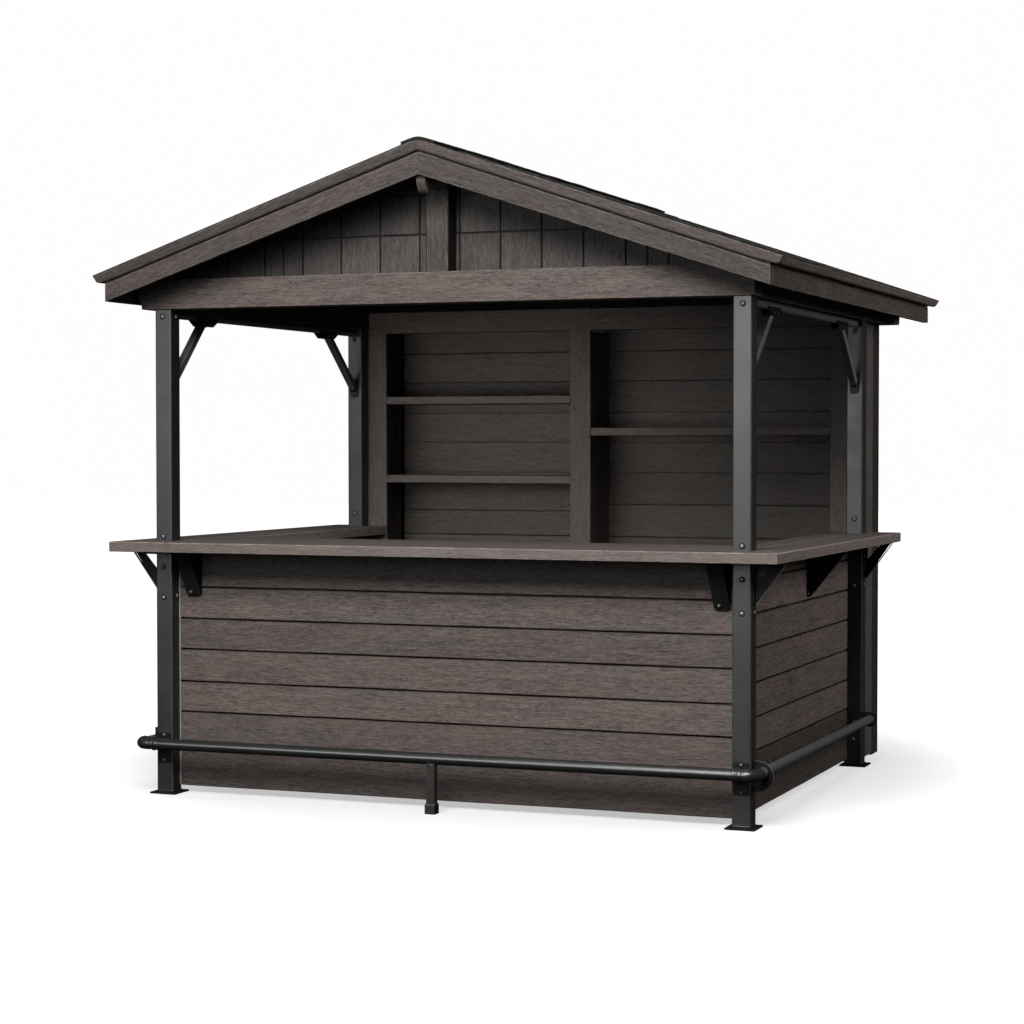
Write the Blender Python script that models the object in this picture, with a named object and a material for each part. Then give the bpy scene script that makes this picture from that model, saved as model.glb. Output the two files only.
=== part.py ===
# Bar-type market stall: four square steel posts on bolted plates, a U-shaped
# counter on bent steel brackets, plank panels under it, a round foot rail, a
# shelf unit between and behind the rear posts, and a gabled shingle roof.
#
# Metres, +Z up. The front of the stall faces -Y and its left is -X.
# The origin lies on the ground under the middle of the stall's outline.

import math

import bmesh
import bpy
from mathutils import Matrix, Vector

# ----------------------------------------------------------------- sizes

GAP = 0.0003            # clearance between pieces that touch

FRONT = -1.2705         # Y of the front face of the front posts

# posts, measured from the middle line and from FRONT
POST = 0.076            # square tube, side
POST_X = 1.295          # outer face
POST_Y2 = 1.873         # front face of the rear posts
POST_TOP = 2.038
PLATE = 0.121           # base plate, side
PLATE_T = 0.008

# counter
TOP_Z = 1.067           # bar height
TOP_T = 0.042
TOP_X = 1.436           # outer edge at the sides
TOP_Y0 = -0.147         # front edge
TOP_Y1 = 0.470          # inner edge of the front length
TOP_XI = 1.125          # inner edge of the side lengths
TOP_YE = 2.046          # rear end
UNDER = TOP_Z - TOP_T   # underside of the counter

# panels under the counter
PANEL_Y = 0.066         # outer face of the front panel
PANEL_X = 1.230         # outer face of the side panels
PANEL_T = 0.040
PANEL_Z0 = 0.030

# shelf unit
UNIT_Y0 = 1.9545        # front plane of the stiles
UNIT_X = 1.250          # outer face of its sides
STILE_T = 0.020
STILE_XI = 1.124        # inner edge of the outer stiles
MID_X0, MID_X1 = -0.152, -0.050
SIDE_T = 0.020
SIDE_YE = 2.285
BACK_Y0, BACK_Y1 = 2.330, 2.375
REAR_Y = 2.412          # rear plane of the corner posts and the rear beam
RAIL_Z0, RAIL_Z1 = 2.0205, 2.170

# roof
EAVE_X = 1.4176         # outer face of the eave fascias
BARGE_Y0 = -0.197       # front face of the front barge boards
BARGE_Y1 = 2.738        # rear face of the rear barge boards
BOARD_T = 0.022
APEX_TOP = 2.6225       # top of the barge boards at the middle
EAVE_TOP = 2.1412
APEX_LOW = 2.5284
EAVE_LOW = 2.0627
SLOPE = (APEX_TOP - EAVE_TOP) / EAVE_X
DECK_T = 0.036          # measured upright
DECK_OUT = 0.050        # how far the deck's upper edge stands past the fascia
SHINGLE_T = 0.013
DECK_OVER = 0.010       # how far the deck stands past the barge boards

BEAM_Y0, BEAM_Y1 = -0.012, 0.096
BEAM_Z1 = 2.162
BEAM_X = 1.345
GABLE_Y0 = 0.072
GABLE_T = 0.022

# foot rail
RAIL_R = 0.0245
RAIL_Y = -0.075
RAIL_X = 1.335
RAIL_Z = 0.220
RAIL_R_SIDE = 0.0205    # the side lengths are a thinner tube behind their elbows
RAIL_SIDES = 20

# ----------------------------------------------------------------- scene

for old in list(bpy.data.objects):
    bpy.data.objects.remove(old, do_unlink=True)

STALL = bpy.data.objects.new("stall", None)
bpy.context.collection.objects.link(STALL)
STALL.location = (0.0, FRONT, 0.0)


def material(name, colour, roughness, metallic=0.0):
    mat = bpy.data.materials.new(name)
    mat.use_nodes = True
    shader = mat.node_tree.nodes["Principled BSDF"]
    shader.inputs["Base Color"].default_value = (*colour, 1.0)
    shader.inputs["Roughness"].default_value = roughness
    shader.inputs["Metallic"].default_value = metallic
    return mat


BOARD = ("stained_board", (0.095, 0.078, 0.070), 0.62, 0.0)
COUNTER = ("counter_board", (0.130, 0.112, 0.102), 0.55, 0.0)
STEEL = ("black_steel", (0.028, 0.029, 0.032), 0.42, 0.3)
SHINGLE = ("shingle", (0.022, 0.021, 0.020), 0.90, 0.0)


# ----------------------------------------------------------------- shapes

def face_out(bm):
    bmesh.ops.recalc_face_normals(bm, faces=bm.faces)


def place(name, bm, look, smooth=False):
    """Make the object, with its origin at the middle of its outline."""
    low = Vector([min(v.co[i] for v in bm.verts) for i in range(3)])
    high = Vector([max(v.co[i] for v in bm.verts) for i in range(3)])
    centre = (low + high) / 2.0
    bmesh.ops.translate(bm, verts=bm.verts, vec=-centre)
    many_sided = [f for f in bm.faces if len(f.verts) > 4]
    bmesh.ops.triangulate(bm, faces=many_sided, ngon_method="EAR_CLIP")
    mesh = bpy.data.meshes.new(name)
    bm.to_mesh(mesh)
    bm.free()
    obj = bpy.data.objects.new(name, mesh)
    bpy.context.collection.objects.link(obj)
    obj.parent = STALL
    obj.location = centre
    mesh.materials.append(material(name + "_" + look[0], look[1], look[2], look[3]))
    if smooth:
        mesh.shade_smooth()
        mesh.set_sharp_from_angle(angle=math.radians(35.0))
    return obj


def prism(points, axis, a, b):
    """Close an outline into a solid between a and b along an axis.
    The outline's two coordinates are the other two axes, in XYZ order."""
    bm = bmesh.new()
    ring = []
    for value in (a, b):
        row = []
        for p, q in points:
            co = {"X": (value, p, q), "Y": (p, value, q), "Z": (p, q, value)}[axis]
            row.append(bm.verts.new(co))
        ring.append(row)
    count = len(points)
    bm.faces.new(ring[0])
    bm.faces.new(ring[1])
    for i in range(count):
        j = (i + 1) % count
        bm.faces.new((ring[0][i], ring[0][j], ring[1][j], ring[1][i]))
    face_out(bm)
    return bm


def box(x0, x1, y0, y1, z0, z1):
    return prism([(x0, y0), (x1, y0), (x1, y1), (x0, y1)], "Z", z0, z1)


def sweep(path, radii, sides):
    """Round bar along a flat path in one level plane, closed at both ends."""
    bm = bmesh.new()
    rings = []
    for i, point in enumerate(path):
        before = path[max(i - 1, 0)]
        after = path[min(i + 1, len(path) - 1)]
        along = (Vector(after) - Vector(before)).normalized()
        side = along.cross(Vector((0, 0, 1))).normalized()
        ring = []
        for k in range(sides):
            t = 2.0 * math.pi * k / sides
            off = (side * math.cos(t) + Vector((0, 0, 1)) * math.sin(t)) * radii[i]
            ring.append(bm.verts.new(Vector(point) + off))
        rings.append(ring)
    for a, b in zip(rings, rings[1:]):
        for k in range(sides):
            n = (k + 1) % sides
            bm.faces.new((a[k], a[n], b[n], b[k]))
    bm.faces.new(rings[0])
    bm.faces.new(rings[-1])
    face_out(bm)
    return bm


def rod(start, end, radius, sides):
    """Straight round bar between two points."""
    start, end = Vector(start), Vector(end)
    along = end - start
    bm = bmesh.new()
    bmesh.ops.create_cone(bm, cap_ends=True, segments=sides,
                          radius1=radius, radius2=radius, depth=along.length)
    turn = along.to_track_quat("Z", "Y").to_matrix().to_4x4()
    bmesh.ops.transform(bm, verts=bm.verts,
                        matrix=Matrix.Translation((start + end) / 2.0) @ turn)
    return bm


def fuse(name, solids, look, smooth=False):
    """Join solids that run into each other into one closed body."""
    made = []
    for index, bm in enumerate(solids):
        mesh = bpy.data.meshes.new(name + "_piece")
        bm.to_mesh(mesh)
        bm.free()
        obj = bpy.data.objects.new(name + "_piece", mesh)
        bpy.context.collection.objects.link(obj)
        made.append(obj)
        if index:
            join = made[0].modifiers.new("join", "BOOLEAN")
            join.operation = "UNION"
            join.solver = "EXACT"
            join.object = obj
    bpy.context.view_layer.update()
    graph = bpy.context.evaluated_depsgraph_get()
    whole = bmesh.new()
    whole.from_object(made[0], graph)
    for obj in made:
        bpy.data.objects.remove(obj, do_unlink=True)
    bmesh.ops.remove_doubles(whole, verts=whole.verts, dist=0.00002)
    return place(name, whole, look, smooth)


def cut_away(solid, cutters):
    """Take the cutters out of a solid and give what is left."""
    meshes = []
    for bm in [solid] + cutters:
        mesh = bpy.data.meshes.new("blank")
        bm.to_mesh(mesh)
        bm.free()
        obj = bpy.data.objects.new("blank", mesh)
        bpy.context.collection.objects.link(obj)
        meshes.append(obj)
    for cutter in meshes[1:]:
        cut = meshes[0].modifiers.new("cut", "BOOLEAN")
        cut.operation = "DIFFERENCE"
        cut.solver = "EXACT"
        cut.object = cutter
    bpy.context.view_layer.update()
    graph = bpy.context.evaluated_depsgraph_get()
    left = bmesh.new()
    left.from_object(meshes[0], graph)
    for obj in meshes:
        bpy.data.objects.remove(obj, do_unlink=True)
    return left


def under_roof(x, drop=0.0):
    """Height of the deck's underside at a distance x from the middle."""
    return APEX_TOP - SLOPE * abs(x) - drop


SIDES = (("left", -1.0), ("right", 1.0))


def mirrored(points, sign):
    return [(sign * p, q) for p, q in points]


# ----------------------------------------------------------------- posts

def post(where, sign, y0):
    """Square tube and the plate that it stands on."""
    x_mid = sign * (POST_X - POST / 2.0)
    y_mid = y0 + POST / 2.0
    h, r = PLATE / 2.0, POST / 2.0
    place(where + "_base_plate",
          box(x_mid - h, x_mid + h, y_mid - h, y_mid + h, 0.0, PLATE_T), STEEL)
    place(where + "_post",
          box(x_mid - r, x_mid + r, y_mid - r, y_mid + r, PLATE_T + GAP, POST_TOP), STEEL)


for side, s in SIDES:
    post("front_" + side, s, 0.0)
    post("rear_" + side, s, POST_Y2)

# ----------------------------------------------------------------- counter

# The front length carries both mitres, which run from the outer corner to
# the inner corner and pass clear of the front posts.
front_outline = [(-TOP_X, TOP_Y0), (TOP_X, TOP_Y0), (TOP_XI, TOP_Y1), (-TOP_XI, TOP_Y1)]
holes = []
for side, s in SIDES:
    xa, xb = sorted((s * (POST_X - POST - GAP), s * (POST_X + GAP)))
    holes.append(box(xa, xb, -GAP, POST + GAP, UNDER - 0.01, TOP_Z + 0.01))
place("front_counter", cut_away(prism(front_outline, "Z", UNDER, TOP_Z), holes), COUNTER)

MITRE = GAP * 1.2       # taken off the side lengths along X and Y
for side, s in SIDES:
    outline = [
        (TOP_X, TOP_Y0 + 2.4 * MITRE),
        (TOP_X, TOP_YE),
        (UNIT_X + GAP, TOP_YE),
        (UNIT_X + GAP, POST_Y2 + POST + GAP),
        (POST_X + GAP, POST_Y2 + POST + GAP),
        (POST_X + GAP, POST_Y2 - GAP),
        (POST_X - POST - GAP, POST_Y2 - GAP),
        (POST_X - POST - GAP, UNIT_Y0 - GAP),
        (TOP_XI, UNIT_Y0 - GAP),
        (TOP_XI, TOP_Y1 + 2.4 * MITRE),
    ]
    place(side + "_counter", prism(mirrored(outline, s), "Z", UNDER, TOP_Z), COUNTER)

# ----------------------------------------------------------------- panels

inner = POST_X - POST
place("front_panel",
      box(-inner + GAP, inner - GAP, PANEL_Y, PANEL_Y + PANEL_T, PANEL_Z0, UNDER - GAP),
      BOARD)
for side, s in SIDES:
    ya = POST + GAP
    yb = PANEL_Y + PANEL_T + GAP
    ye = POST_Y2 - GAP
    lap = UNIT_Y0 - GAP     # the inner half runs on past the rear post to the stile
    outline = [(PANEL_X, ya), (PANEL_X, ye), (inner - GAP, ye), (inner - GAP, lap),
               (PANEL_X - PANEL_T, lap), (PANEL_X - PANEL_T, yb), (inner, yb), (inner, ya)]
    place(side + "_panel", prism(mirrored(outline, s), "Z", PANEL_Z0, UNDER - GAP), BOARD)

# ----------------------------------------------------------------- counter brackets

REACH = 0.130           # how far a bracket stands out at the top
DROP = 0.168            # how far it hangs down
WEB = 0.006
FLANGE = 0.064          # width of the slanted face of the front brackets
EDGE_WEB = 0.0288       # their two side plates stand at its edges
CUT = 0.052             # legs of the open triangle by the inner corner


def bracket(out, drop, to_world, webs, lip_w, tab_w):
    """Bent steel bracket. Local u runs out from the wall, w across, z up."""
    def solid(points, w0, w1):
        bm = prism(points, "Y", w0, w1)
        for v in bm.verts:
            v.co = to_world(v.co)
        face_out(bm)
        return bm
    z1 = UNDER - GAP
    t = 0.005
    frame = [(0.0, z1), (out, z1), (out, z1 - 0.012), (0.012, z1 - drop), (0.0, z1 - drop)]
    plates = [solid(frame, at - WEB / 2.0, at + WEB / 2.0) for at in webs]
    half = tab_w / 2.0
    top = solid([(0.0, z1 - 0.0002), (out - 0.004, z1 - 0.0002), (out - 0.004, z1 - t), (0.0, z1 - t)], -half, half)
    back = solid([(0.0002, z1 - 0.001), (t, z1 - 0.001), (t, z1 - drop + 0.001), (0.0002, z1 - drop + 0.001)], -half, half)
    run = Vector((out - 0.012, drop - 0.012)).normalized()
    nx, nz = -run.y * t, run.x * t
    lip = solid([(out - 0.002, z1 - 0.0125), (0.0125, z1 - drop + 0.001),
                 (0.0125 + nx, z1 - drop + 0.001 + nz), (out - 0.002 + nx, z1 - 0.0125 + nz)],
                -lip_w / 2.0, lip_w / 2.0)
    hole = solid([(0.016, z1 - 0.016), (0.016 + CUT, z1 - 0.016), (0.016, z1 - 0.016 - CUT * 1.15)],
                 -0.1, 0.1)
    return plates, [top, back, lip], hole


def make_bracket(name, out, drop, to_world, webs=(0.0,), lip_w=0.020, tab_w=0.040, opened=True):
    plates, flanges, hole = bracket(out, drop, to_world, webs, lip_w, tab_w)
    if opened:
        # the open triangle is cut through the web before the flanges join it
        plates = [cut_away(plates[0], [hole])]
    else:
        hole.free()
    fuse(name, plates + flanges, STEEL)


for side, s in SIDES:
    x = -1.144 if s < 0 else 1.164
    make_bracket("front_" + side + "_bracket", 0.130, 0.190,
                 lambda co, x=x: Vector((x + co.y, PANEL_Y - GAP - co.x, co.z)),
                 webs=(-EDGE_WEB, EDGE_WEB), lip_w=FLANGE, tab_w=FLANGE + 0.012, opened=False)
    for where, y, wall in (("front", POST / 2.0, POST_X),
                           ("middle", 1.130, PANEL_X),
                           ("rear", POST_Y2 + POST / 2.0, POST_X)):
        reach = REACH if where != "middle" else 0.172
        drop = DROP if where != "middle" else 0.205
        make_bracket("_".join((side, "side", where, "bracket")), reach, drop,
                     lambda co, y=y, wall=wall, s=s: Vector((s * (wall + GAP + co.x), y + co.y, co.z)),
                     tab_w=0.040 if where != "middle" else 0.046, opened=where != "middle")

# ----------------------------------------------------------------- foot rail

MOUNT_T = 0.006
SPLIT = 1.281           # where the side lengths butt on to the front length
LEG = 0.018             # half the leg's side
LEG_X = 0.002
SHOE = 0.023
front_parts = [rod((-SPLIT, RAIL_Y, RAIL_Z), (SPLIT, RAIL_Y, RAIL_Z), RAIL_R, RAIL_SIDES),
               box(LEG_X - LEG, LEG_X + LEG, RAIL_Y - LEG, RAIL_Y + LEG, 0.004, RAIL_Z)]
shoe = box(LEG_X - SHOE, LEG_X + SHOE, RAIL_Y - SHOE, RAIL_Y + SHOE, 0.0, 0.036)
rim = max(shoe.faces, key=lambda f: f.calc_center_median().z)
bmesh.ops.inset_individual(shoe, faces=[rim], thickness=0.004, use_even_offset=True)
bmesh.ops.translate(shoe, verts=[v for v in shoe.verts if v.co.z > 0.03
                                 and abs(v.co.x - LEG_X) < SHOE - 0.002
                                 and abs(v.co.y - RAIL_Y) < SHOE - 0.002], vec=(0, 0, 0.008))
front_parts.append(shoe)
fuse("front_foot_rail", front_parts, STEEL, smooth=True)

# each mount is a plate on the post with a stub saddled on to the tube
for side, s in SIDES:
    x = s * (POST_X - POST / 2.0)
    stub = cut_away(rod((x, RAIL_Y, RAIL_Z), (x, -0.002, RAIL_Z), 0.016, 12),
                    [rod((x - 0.2, RAIL_Y, RAIL_Z), (x + 0.2, RAIL_Y, RAIL_Z), RAIL_R + GAP, RAIL_SIDES)])
    plate = box(x - 0.030, x + 0.030, -GAP - MOUNT_T, -GAP, 0.132, 0.259)
    fuse("front_" + side + "_rail_mount", [plate, stub], STEEL, smooth=True)

BEND = 0.040            # radius of the bend on the tube's middle line
for side, s in SIDES:
    path = [(s * (SPLIT + GAP), RAIL_Y, RAIL_Z)]
    cx, cy = RAIL_X - BEND, RAIL_Y + BEND
    for k in range(9):
        t = -math.pi / 2.0 + (math.pi / 2.0) * k / 8.0
        path.append((s * (cx + BEND * math.cos(t)), cy + BEND * math.sin(t), RAIL_Z))
    rear_face = POST_Y2 - GAP - MOUNT_T
    radii = [RAIL_R] * (len(path) + 1) + [RAIL_R_SIDE] * 2
    path.append((s * RAIL_X, cy + 0.010, RAIL_Z))
    path.append((s * RAIL_X, cy + 0.013, RAIL_Z))
    path.append((s * RAIL_X, rear_face + 0.003, RAIL_Z))
    # flange on the rear post, round at its outer end
    flange = [(1.234, RAIL_Z - 0.034), (1.234, RAIL_Z + 0.034)]
    # beside the front post: a thin round-nosed plate on the right, which the tube runs through, a small tab on the left
    nose = [(POST_X + GAP, 0.222), (1.325, 0.222), (1.325, 0.275), (POST_X + GAP, 0.275)] if s < 0 else []
    for k in range(11):
        t = math.pi / 2.0 - math.pi * k / 10.0
        flange.append((RAIL_X + 0.034 * math.cos(t), RAIL_Z + 0.034 * math.sin(t)))
        if s > 0:
            nose.append((POST_X + GAP + 0.0800 * max(math.cos(t), 0.0) ** 0.8, RAIL_Z - 0.017 + 0.0600 * math.sin(t)))
    fuse(side + "_foot_rail",
         [sweep(path, radii, RAIL_SIDES),
          prism(mirrored(flange, s), "Y", rear_face, POST_Y2 - GAP),
          prism(mirrored(nose, s), "Y", 0.036, 0.040)], STEEL, smooth=True)

# ----------------------------------------------------------------- header frames

HEAD_R = 0.0172
HEAD_Z = POST_TOP - 0.0180
BAR = 0.032
REACHES = {"left": (0.270, 0.320), "right": (0.335, 0.315)}     # of the front and rear braces
for side, s in SIDES:
    x = s * (POST_X - POST / 2.0)
    ya, yb = POST + GAP, POST_Y2 - GAP
    parts = [rod((x, ya, HEAD_Z), (x, yb, HEAD_Z), HEAD_R, 16)]
    for wall, out, reach in ((ya, 1.0, REACHES[side][0]), (yb, -1.0, REACHES[side][1])):
        low, high = 1.745, HEAD_Z - 0.012
        w = 0.022
        bar = [(wall + out * 0.0006, low - w), (wall + out * 0.0006, low + w),
               (wall + out * (reach - w), high), (wall + out * (reach + w), high)]
        parts.append(prism(bar, "X", x - BAR / 2.0, x + BAR / 2.0))
        foot = [(wall, low - 0.042), (wall, low + 0.042),
                (wall + out * 0.006, low + 0.042), (wall + out * 0.006, low - 0.042)]
        parts.append(prism(foot, "X", x - 0.022, x + 0.022))
        gusset = [(wall + out * (reach - 0.105), HEAD_Z - 0.004), (wall + out * (reach + 0.105), HEAD_Z - 0.004),
                  (wall + out * (reach + 0.055), HEAD_Z - 0.040), (wall + out * (reach - 0.055), HEAD_Z - 0.040)]
        parts.append(prism(gusset, "X", x - 0.004, x + 0.004))
    fuse(side + "_header_frame", parts, STEEL, smooth=True)

# ----------------------------------------------------------------- beams

def beam_outline(left, right):
    return [(-x, z) for x, z in left] + [(x, z) for x, z in reversed(right)]


z0 = POST_TOP + GAP
clear = GAP * 1.2
x_top = (APEX_TOP - clear - BEAM_Z1) / SLOPE
plain_end = [(BEAM_X, z0), (BEAM_X + 0.012, under_roof(BEAM_X + 0.012, clear)), (x_top, BEAM_Z1)]
# the front beam's left end is hollowed towards the eave, its right end is sawn short and square
left_end = [(1.352, z0), (1.354, z0 + 0.020), (1.361, z0 + 0.036), (1.374, z0 + 0.050),
            (1.374, under_roof(1.374, clear)), (x_top, BEAM_Z1)]
right_end = [(1.307, z0), (1.309, BEAM_Z1)]
place("front_tie_beam", prism(beam_outline(left_end, right_end), "Y", BEAM_Y0, BEAM_Y1), BOARD)
place("rear_tie_beam", prism(beam_outline(plain_end, plain_end), "Y", REAR_Y - (BEAM_Y1 - BEAM_Y0), REAR_Y), BOARD)

for side, s in SIDES:
    xa, xb = POST_X - POST, POST_X
    clear = GAP * 1.2
    outline = [(xa, POST_TOP + GAP), (xb, POST_TOP + GAP), (xb, under_roof(xb, clear)), (xa, under_roof(xa, clear))]
    place(side + "_side_beam",
          prism(mirrored(outline, s), "Y", BEAM_Y1 + GAP, REAR_Y - (BEAM_Y1 - BEAM_Y0) - GAP), BOARD)

# ----------------------------------------------------------------- gables

def gable(name, y0, y1):
    clear = GAP * 1.2
    z0 = BEAM_Z1 + GAP
    x_low = (APEX_TOP - clear - z0) / SLOPE
    z_cut = z0 + 0.004
    x_cut = (APEX_TOP - clear - z_cut) / SLOPE
    outline = [(-x_cut, z0), (x_cut, z0), (x_cut, z_cut), (0.0, APEX_TOP - clear), (-x_cut, z_cut)]
    place(name, prism(outline, "Y", y0, y1), BOARD)


gable("front_gable_wall", GABLE_Y0, GABLE_Y0 + GABLE_T)
gable("rear_gable_wall", REAR_Y - (GABLE_Y0 - BEAM_Y0) - GABLE_T, REAR_Y - (GABLE_Y0 - BEAM_Y0))

KING = 0.049
clear = GAP * 1.2
king_outline = [(-KING, BEAM_Z1 + GAP), (KING, BEAM_Z1 + GAP), (KING, under_roof(KING, clear)),
                (0.0, under_roof(0.0, clear)), (-KING, under_roof(KING, clear))]
# a hook hangs behind the peak of the barge boards, its block reaches back to the king post
nose_y = BARGE_Y0 + BOARD_T + GAP
horn = [(0.0, 2.508), (0.006, 2.488), (0.018, 2.470), (0.031, 2.4615), (0.037, 2.466), (0.040, 2.482), (0.044, 2.505),
        (0.052, 2.530), (0.066, 2.548)]
corbel = [(nose_y, 2.590)] + [(nose_y + dy, z) for dy, z in horn] + [(BEAM_Y0 + 0.004, 2.548), (BEAM_Y0 + 0.004, 2.590)]
fuse("front_king_post",
     [prism(king_outline, "Y", BEAM_Y0, GABLE_Y0 - GAP), prism(corbel, "X", -0.020, 0.020)], BOARD)

# ----------------------------------------------------------------- barge boards and fascias

def barge(name, s, y0, y1):
    clear = GAP * 1.2
    outline = [(GAP / 2.0, APEX_LOW), (GAP / 2.0, APEX_TOP - clear),
               (EAVE_X, EAVE_TOP - clear), (EAVE_X, EAVE_LOW)]
    place(name, prism(mirrored(outline, s), "Y", y0, y1), BOARD)


for side, s in SIDES:
    barge("front_" + side + "_barge_board", s, BARGE_Y0, BARGE_Y0 + BOARD_T)
    barge("rear_" + side + "_barge_board", s, BARGE_Y1 - BOARD_T, BARGE_Y1)
    xa, xb = EAVE_X - BOARD_T, EAVE_X
    clear = GAP * 1.2
    outline = [(xa, EAVE_LOW), (xb, EAVE_LOW), (xb, under_roof(xb, clear)), (xa, under_roof(xa, clear))]
    place(side + "_eave_fascia",
          prism(mirrored(outline, s), "Y", BARGE_Y0 + BOARD_T + GAP, BARGE_Y1 - BOARD_T - GAP), BOARD)

# ----------------------------------------------------------------- roof

ROOF_Y0, ROOF_Y1 = BARGE_Y0 - DECK_OVER, BARGE_Y1 + DECK_OVER
for side, s in SIDES:
    # the deck's edge leans out to a thin lip at the top
    lip = EAVE_X + DECK_OUT
    low = EAVE_X + 0.004
    outline = [(GAP / 2.0, APEX_TOP), (low, under_roof(low)), (low + 0.010, under_roof(low) + 0.004),
               (lip, under_roof(lip) + DECK_T - 0.006), (lip, under_roof(lip) + DECK_T),
               (GAP / 2.0, APEX_TOP + DECK_T)]
    place(side + "_roof_deck", prism(mirrored(outline, s), "Y", ROOF_Y0, ROOF_Y1), BOARD)
    lift = DECK_T + GAP * 1.2
    outer = lip + 0.004
    outline = [(0.040, under_roof(0.040) + lift), (outer, under_roof(outer) + lift),
               (outer, under_roof(outer) + lift + SHINGLE_T * 0.6),
               (outer - 0.06, under_roof(outer - 0.06) + lift + SHINGLE_T),
               (0.040, under_roof(0.040) + lift + SHINGLE_T)]
    place(side + "_shingles", prism(mirrored(outline, s), "Y", ROOF_Y0 + 0.006, ROOF_Y1 - 0.006), SHINGLE)

lift = DECK_T + GAP * 1.2
CAP = 0.070
over = lift + SHINGLE_T + GAP * 1.2
ridge = [(-CAP, under_roof(CAP) + over), (-CAP, under_roof(CAP) + over + 0.008),
         (-0.020, under_roof(0.020) + over + 0.010), (0.0, under_roof(0.0) + over + 0.006),
         (0.020, under_roof(0.020) + over + 0.010), (CAP, under_roof(CAP) + over + 0.008),
         (CAP, under_roof(CAP) + over),
         (0.0397, under_roof(0.0397) + over), (0.0397, under_roof(0.0397) + lift),
         (0.0, under_roof(0.0) + lift), (-0.0397, under_roof(0.0397) + lift),
         (-0.0397, under_roof(0.0397) + over)]
place("ridge_cap", prism(ridge, "Y", ROOF_Y0 + 0.002, ROOF_Y1 - 0.002), SHINGLE)

# ----------------------------------------------------------------- shelf unit

FOOT = 0.008
UNIT_TOP = POST_TOP

for side, s in SIDES:
    # outer stile and side board, joined at the front corner
    outline = [(STILE_XI, UNIT_Y0), (UNIT_X, UNIT_Y0), (UNIT_X, SIDE_YE), (UNIT_X - SIDE_T, SIDE_YE),
               (UNIT_X - SIDE_T, UNIT_Y0 + STILE_T), (STILE_XI, UNIT_Y0 + STILE_T)]
    place(side + "_unit_side", prism(mirrored(outline, s), "Z", FOOT, POST_TOP), BOARD)
    # dark corner post down to the ground
    xa, xb = sorted((s * (UNIT_X - 0.055), s * UNIT_X))
    place("rear_" + side + "_corner_post",
          box(xa, xb, SIDE_YE + GAP, REAR_Y, 0.0, POST_TOP), STEEL)

mid = (MID_X0 + MID_X1) / 2.0
outline = [(MID_X0, UNIT_Y0), (MID_X1, UNIT_Y0), (MID_X1, UNIT_Y0 + STILE_T), (mid + 0.019, UNIT_Y0 + STILE_T),
           (mid + 0.019, BACK_Y0 - GAP), (mid - 0.019, BACK_Y0 - GAP), (mid - 0.019, UNIT_Y0 + STILE_T),
           (MID_X0, UNIT_Y0 + STILE_T)]
place("middle_divider", prism(outline, "Z", FOOT, RAIL_Z0 - GAP), BOARD)

# the top rail drops between the outer stiles and laps over them
rail_x, drop_x, lap_z = POST_X - POST - GAP, STILE_XI - GAP, POST_TOP + GAP
outline = [(-drop_x, RAIL_Z0), (drop_x, RAIL_Z0), (drop_x, lap_z), (rail_x, lap_z), (rail_x, RAIL_Z1),
           (-rail_x, RAIL_Z1), (-rail_x, lap_z), (-drop_x, lap_z)]
place("top_rail", prism(outline, "Y", UNIT_Y0, UNIT_Y0 + STILE_T), BOARD)

back_x = UNIT_X - 0.055 - GAP
place("back_wall", box(-back_x, back_x, BACK_Y0, BACK_Y1, FOOT, POST_TOP), BOARD)


def shelf(name, sign, z1, thick=0.037):
    # from the divider to the side board, notched round the corner post, with
    # a nose that stands between the stiles nearly flush with them
    x_mid = mid + sign * (0.019 + GAP)
    x_out = sign * (UNIT_X - SIDE_T - GAP)
    x_post = sign * (UNIT_X - 0.055 - GAP)
    ya, yb, yc = UNIT_Y0 + STILE_T + GAP, SIDE_YE - GAP, BACK_Y0 - GAP
    n_mid = (MID_X0 - GAP) if sign < 0 else (MID_X1 + GAP)
    n_out = sign * (STILE_XI - GAP)
    nose = UNIT_Y0 + 0.003
    outline = [(x_mid, ya), (n_mid, ya), (n_mid, nose), (n_out, nose), (n_out, ya),
               (x_out, ya), (x_out, yb), (x_post, yb), (x_post, yc), (x_mid, yc)]
    place(name, prism(outline, "Z", z1 - thick, z1), BOARD)


shelf("left_upper_shelf", -1.0, 1.708)
shelf("left_lower_shelf", -1.0, 1.320)
shelf("right_shelf", 1.0, 1.552)

bpy.context.view_layer.update()
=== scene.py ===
import math

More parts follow.
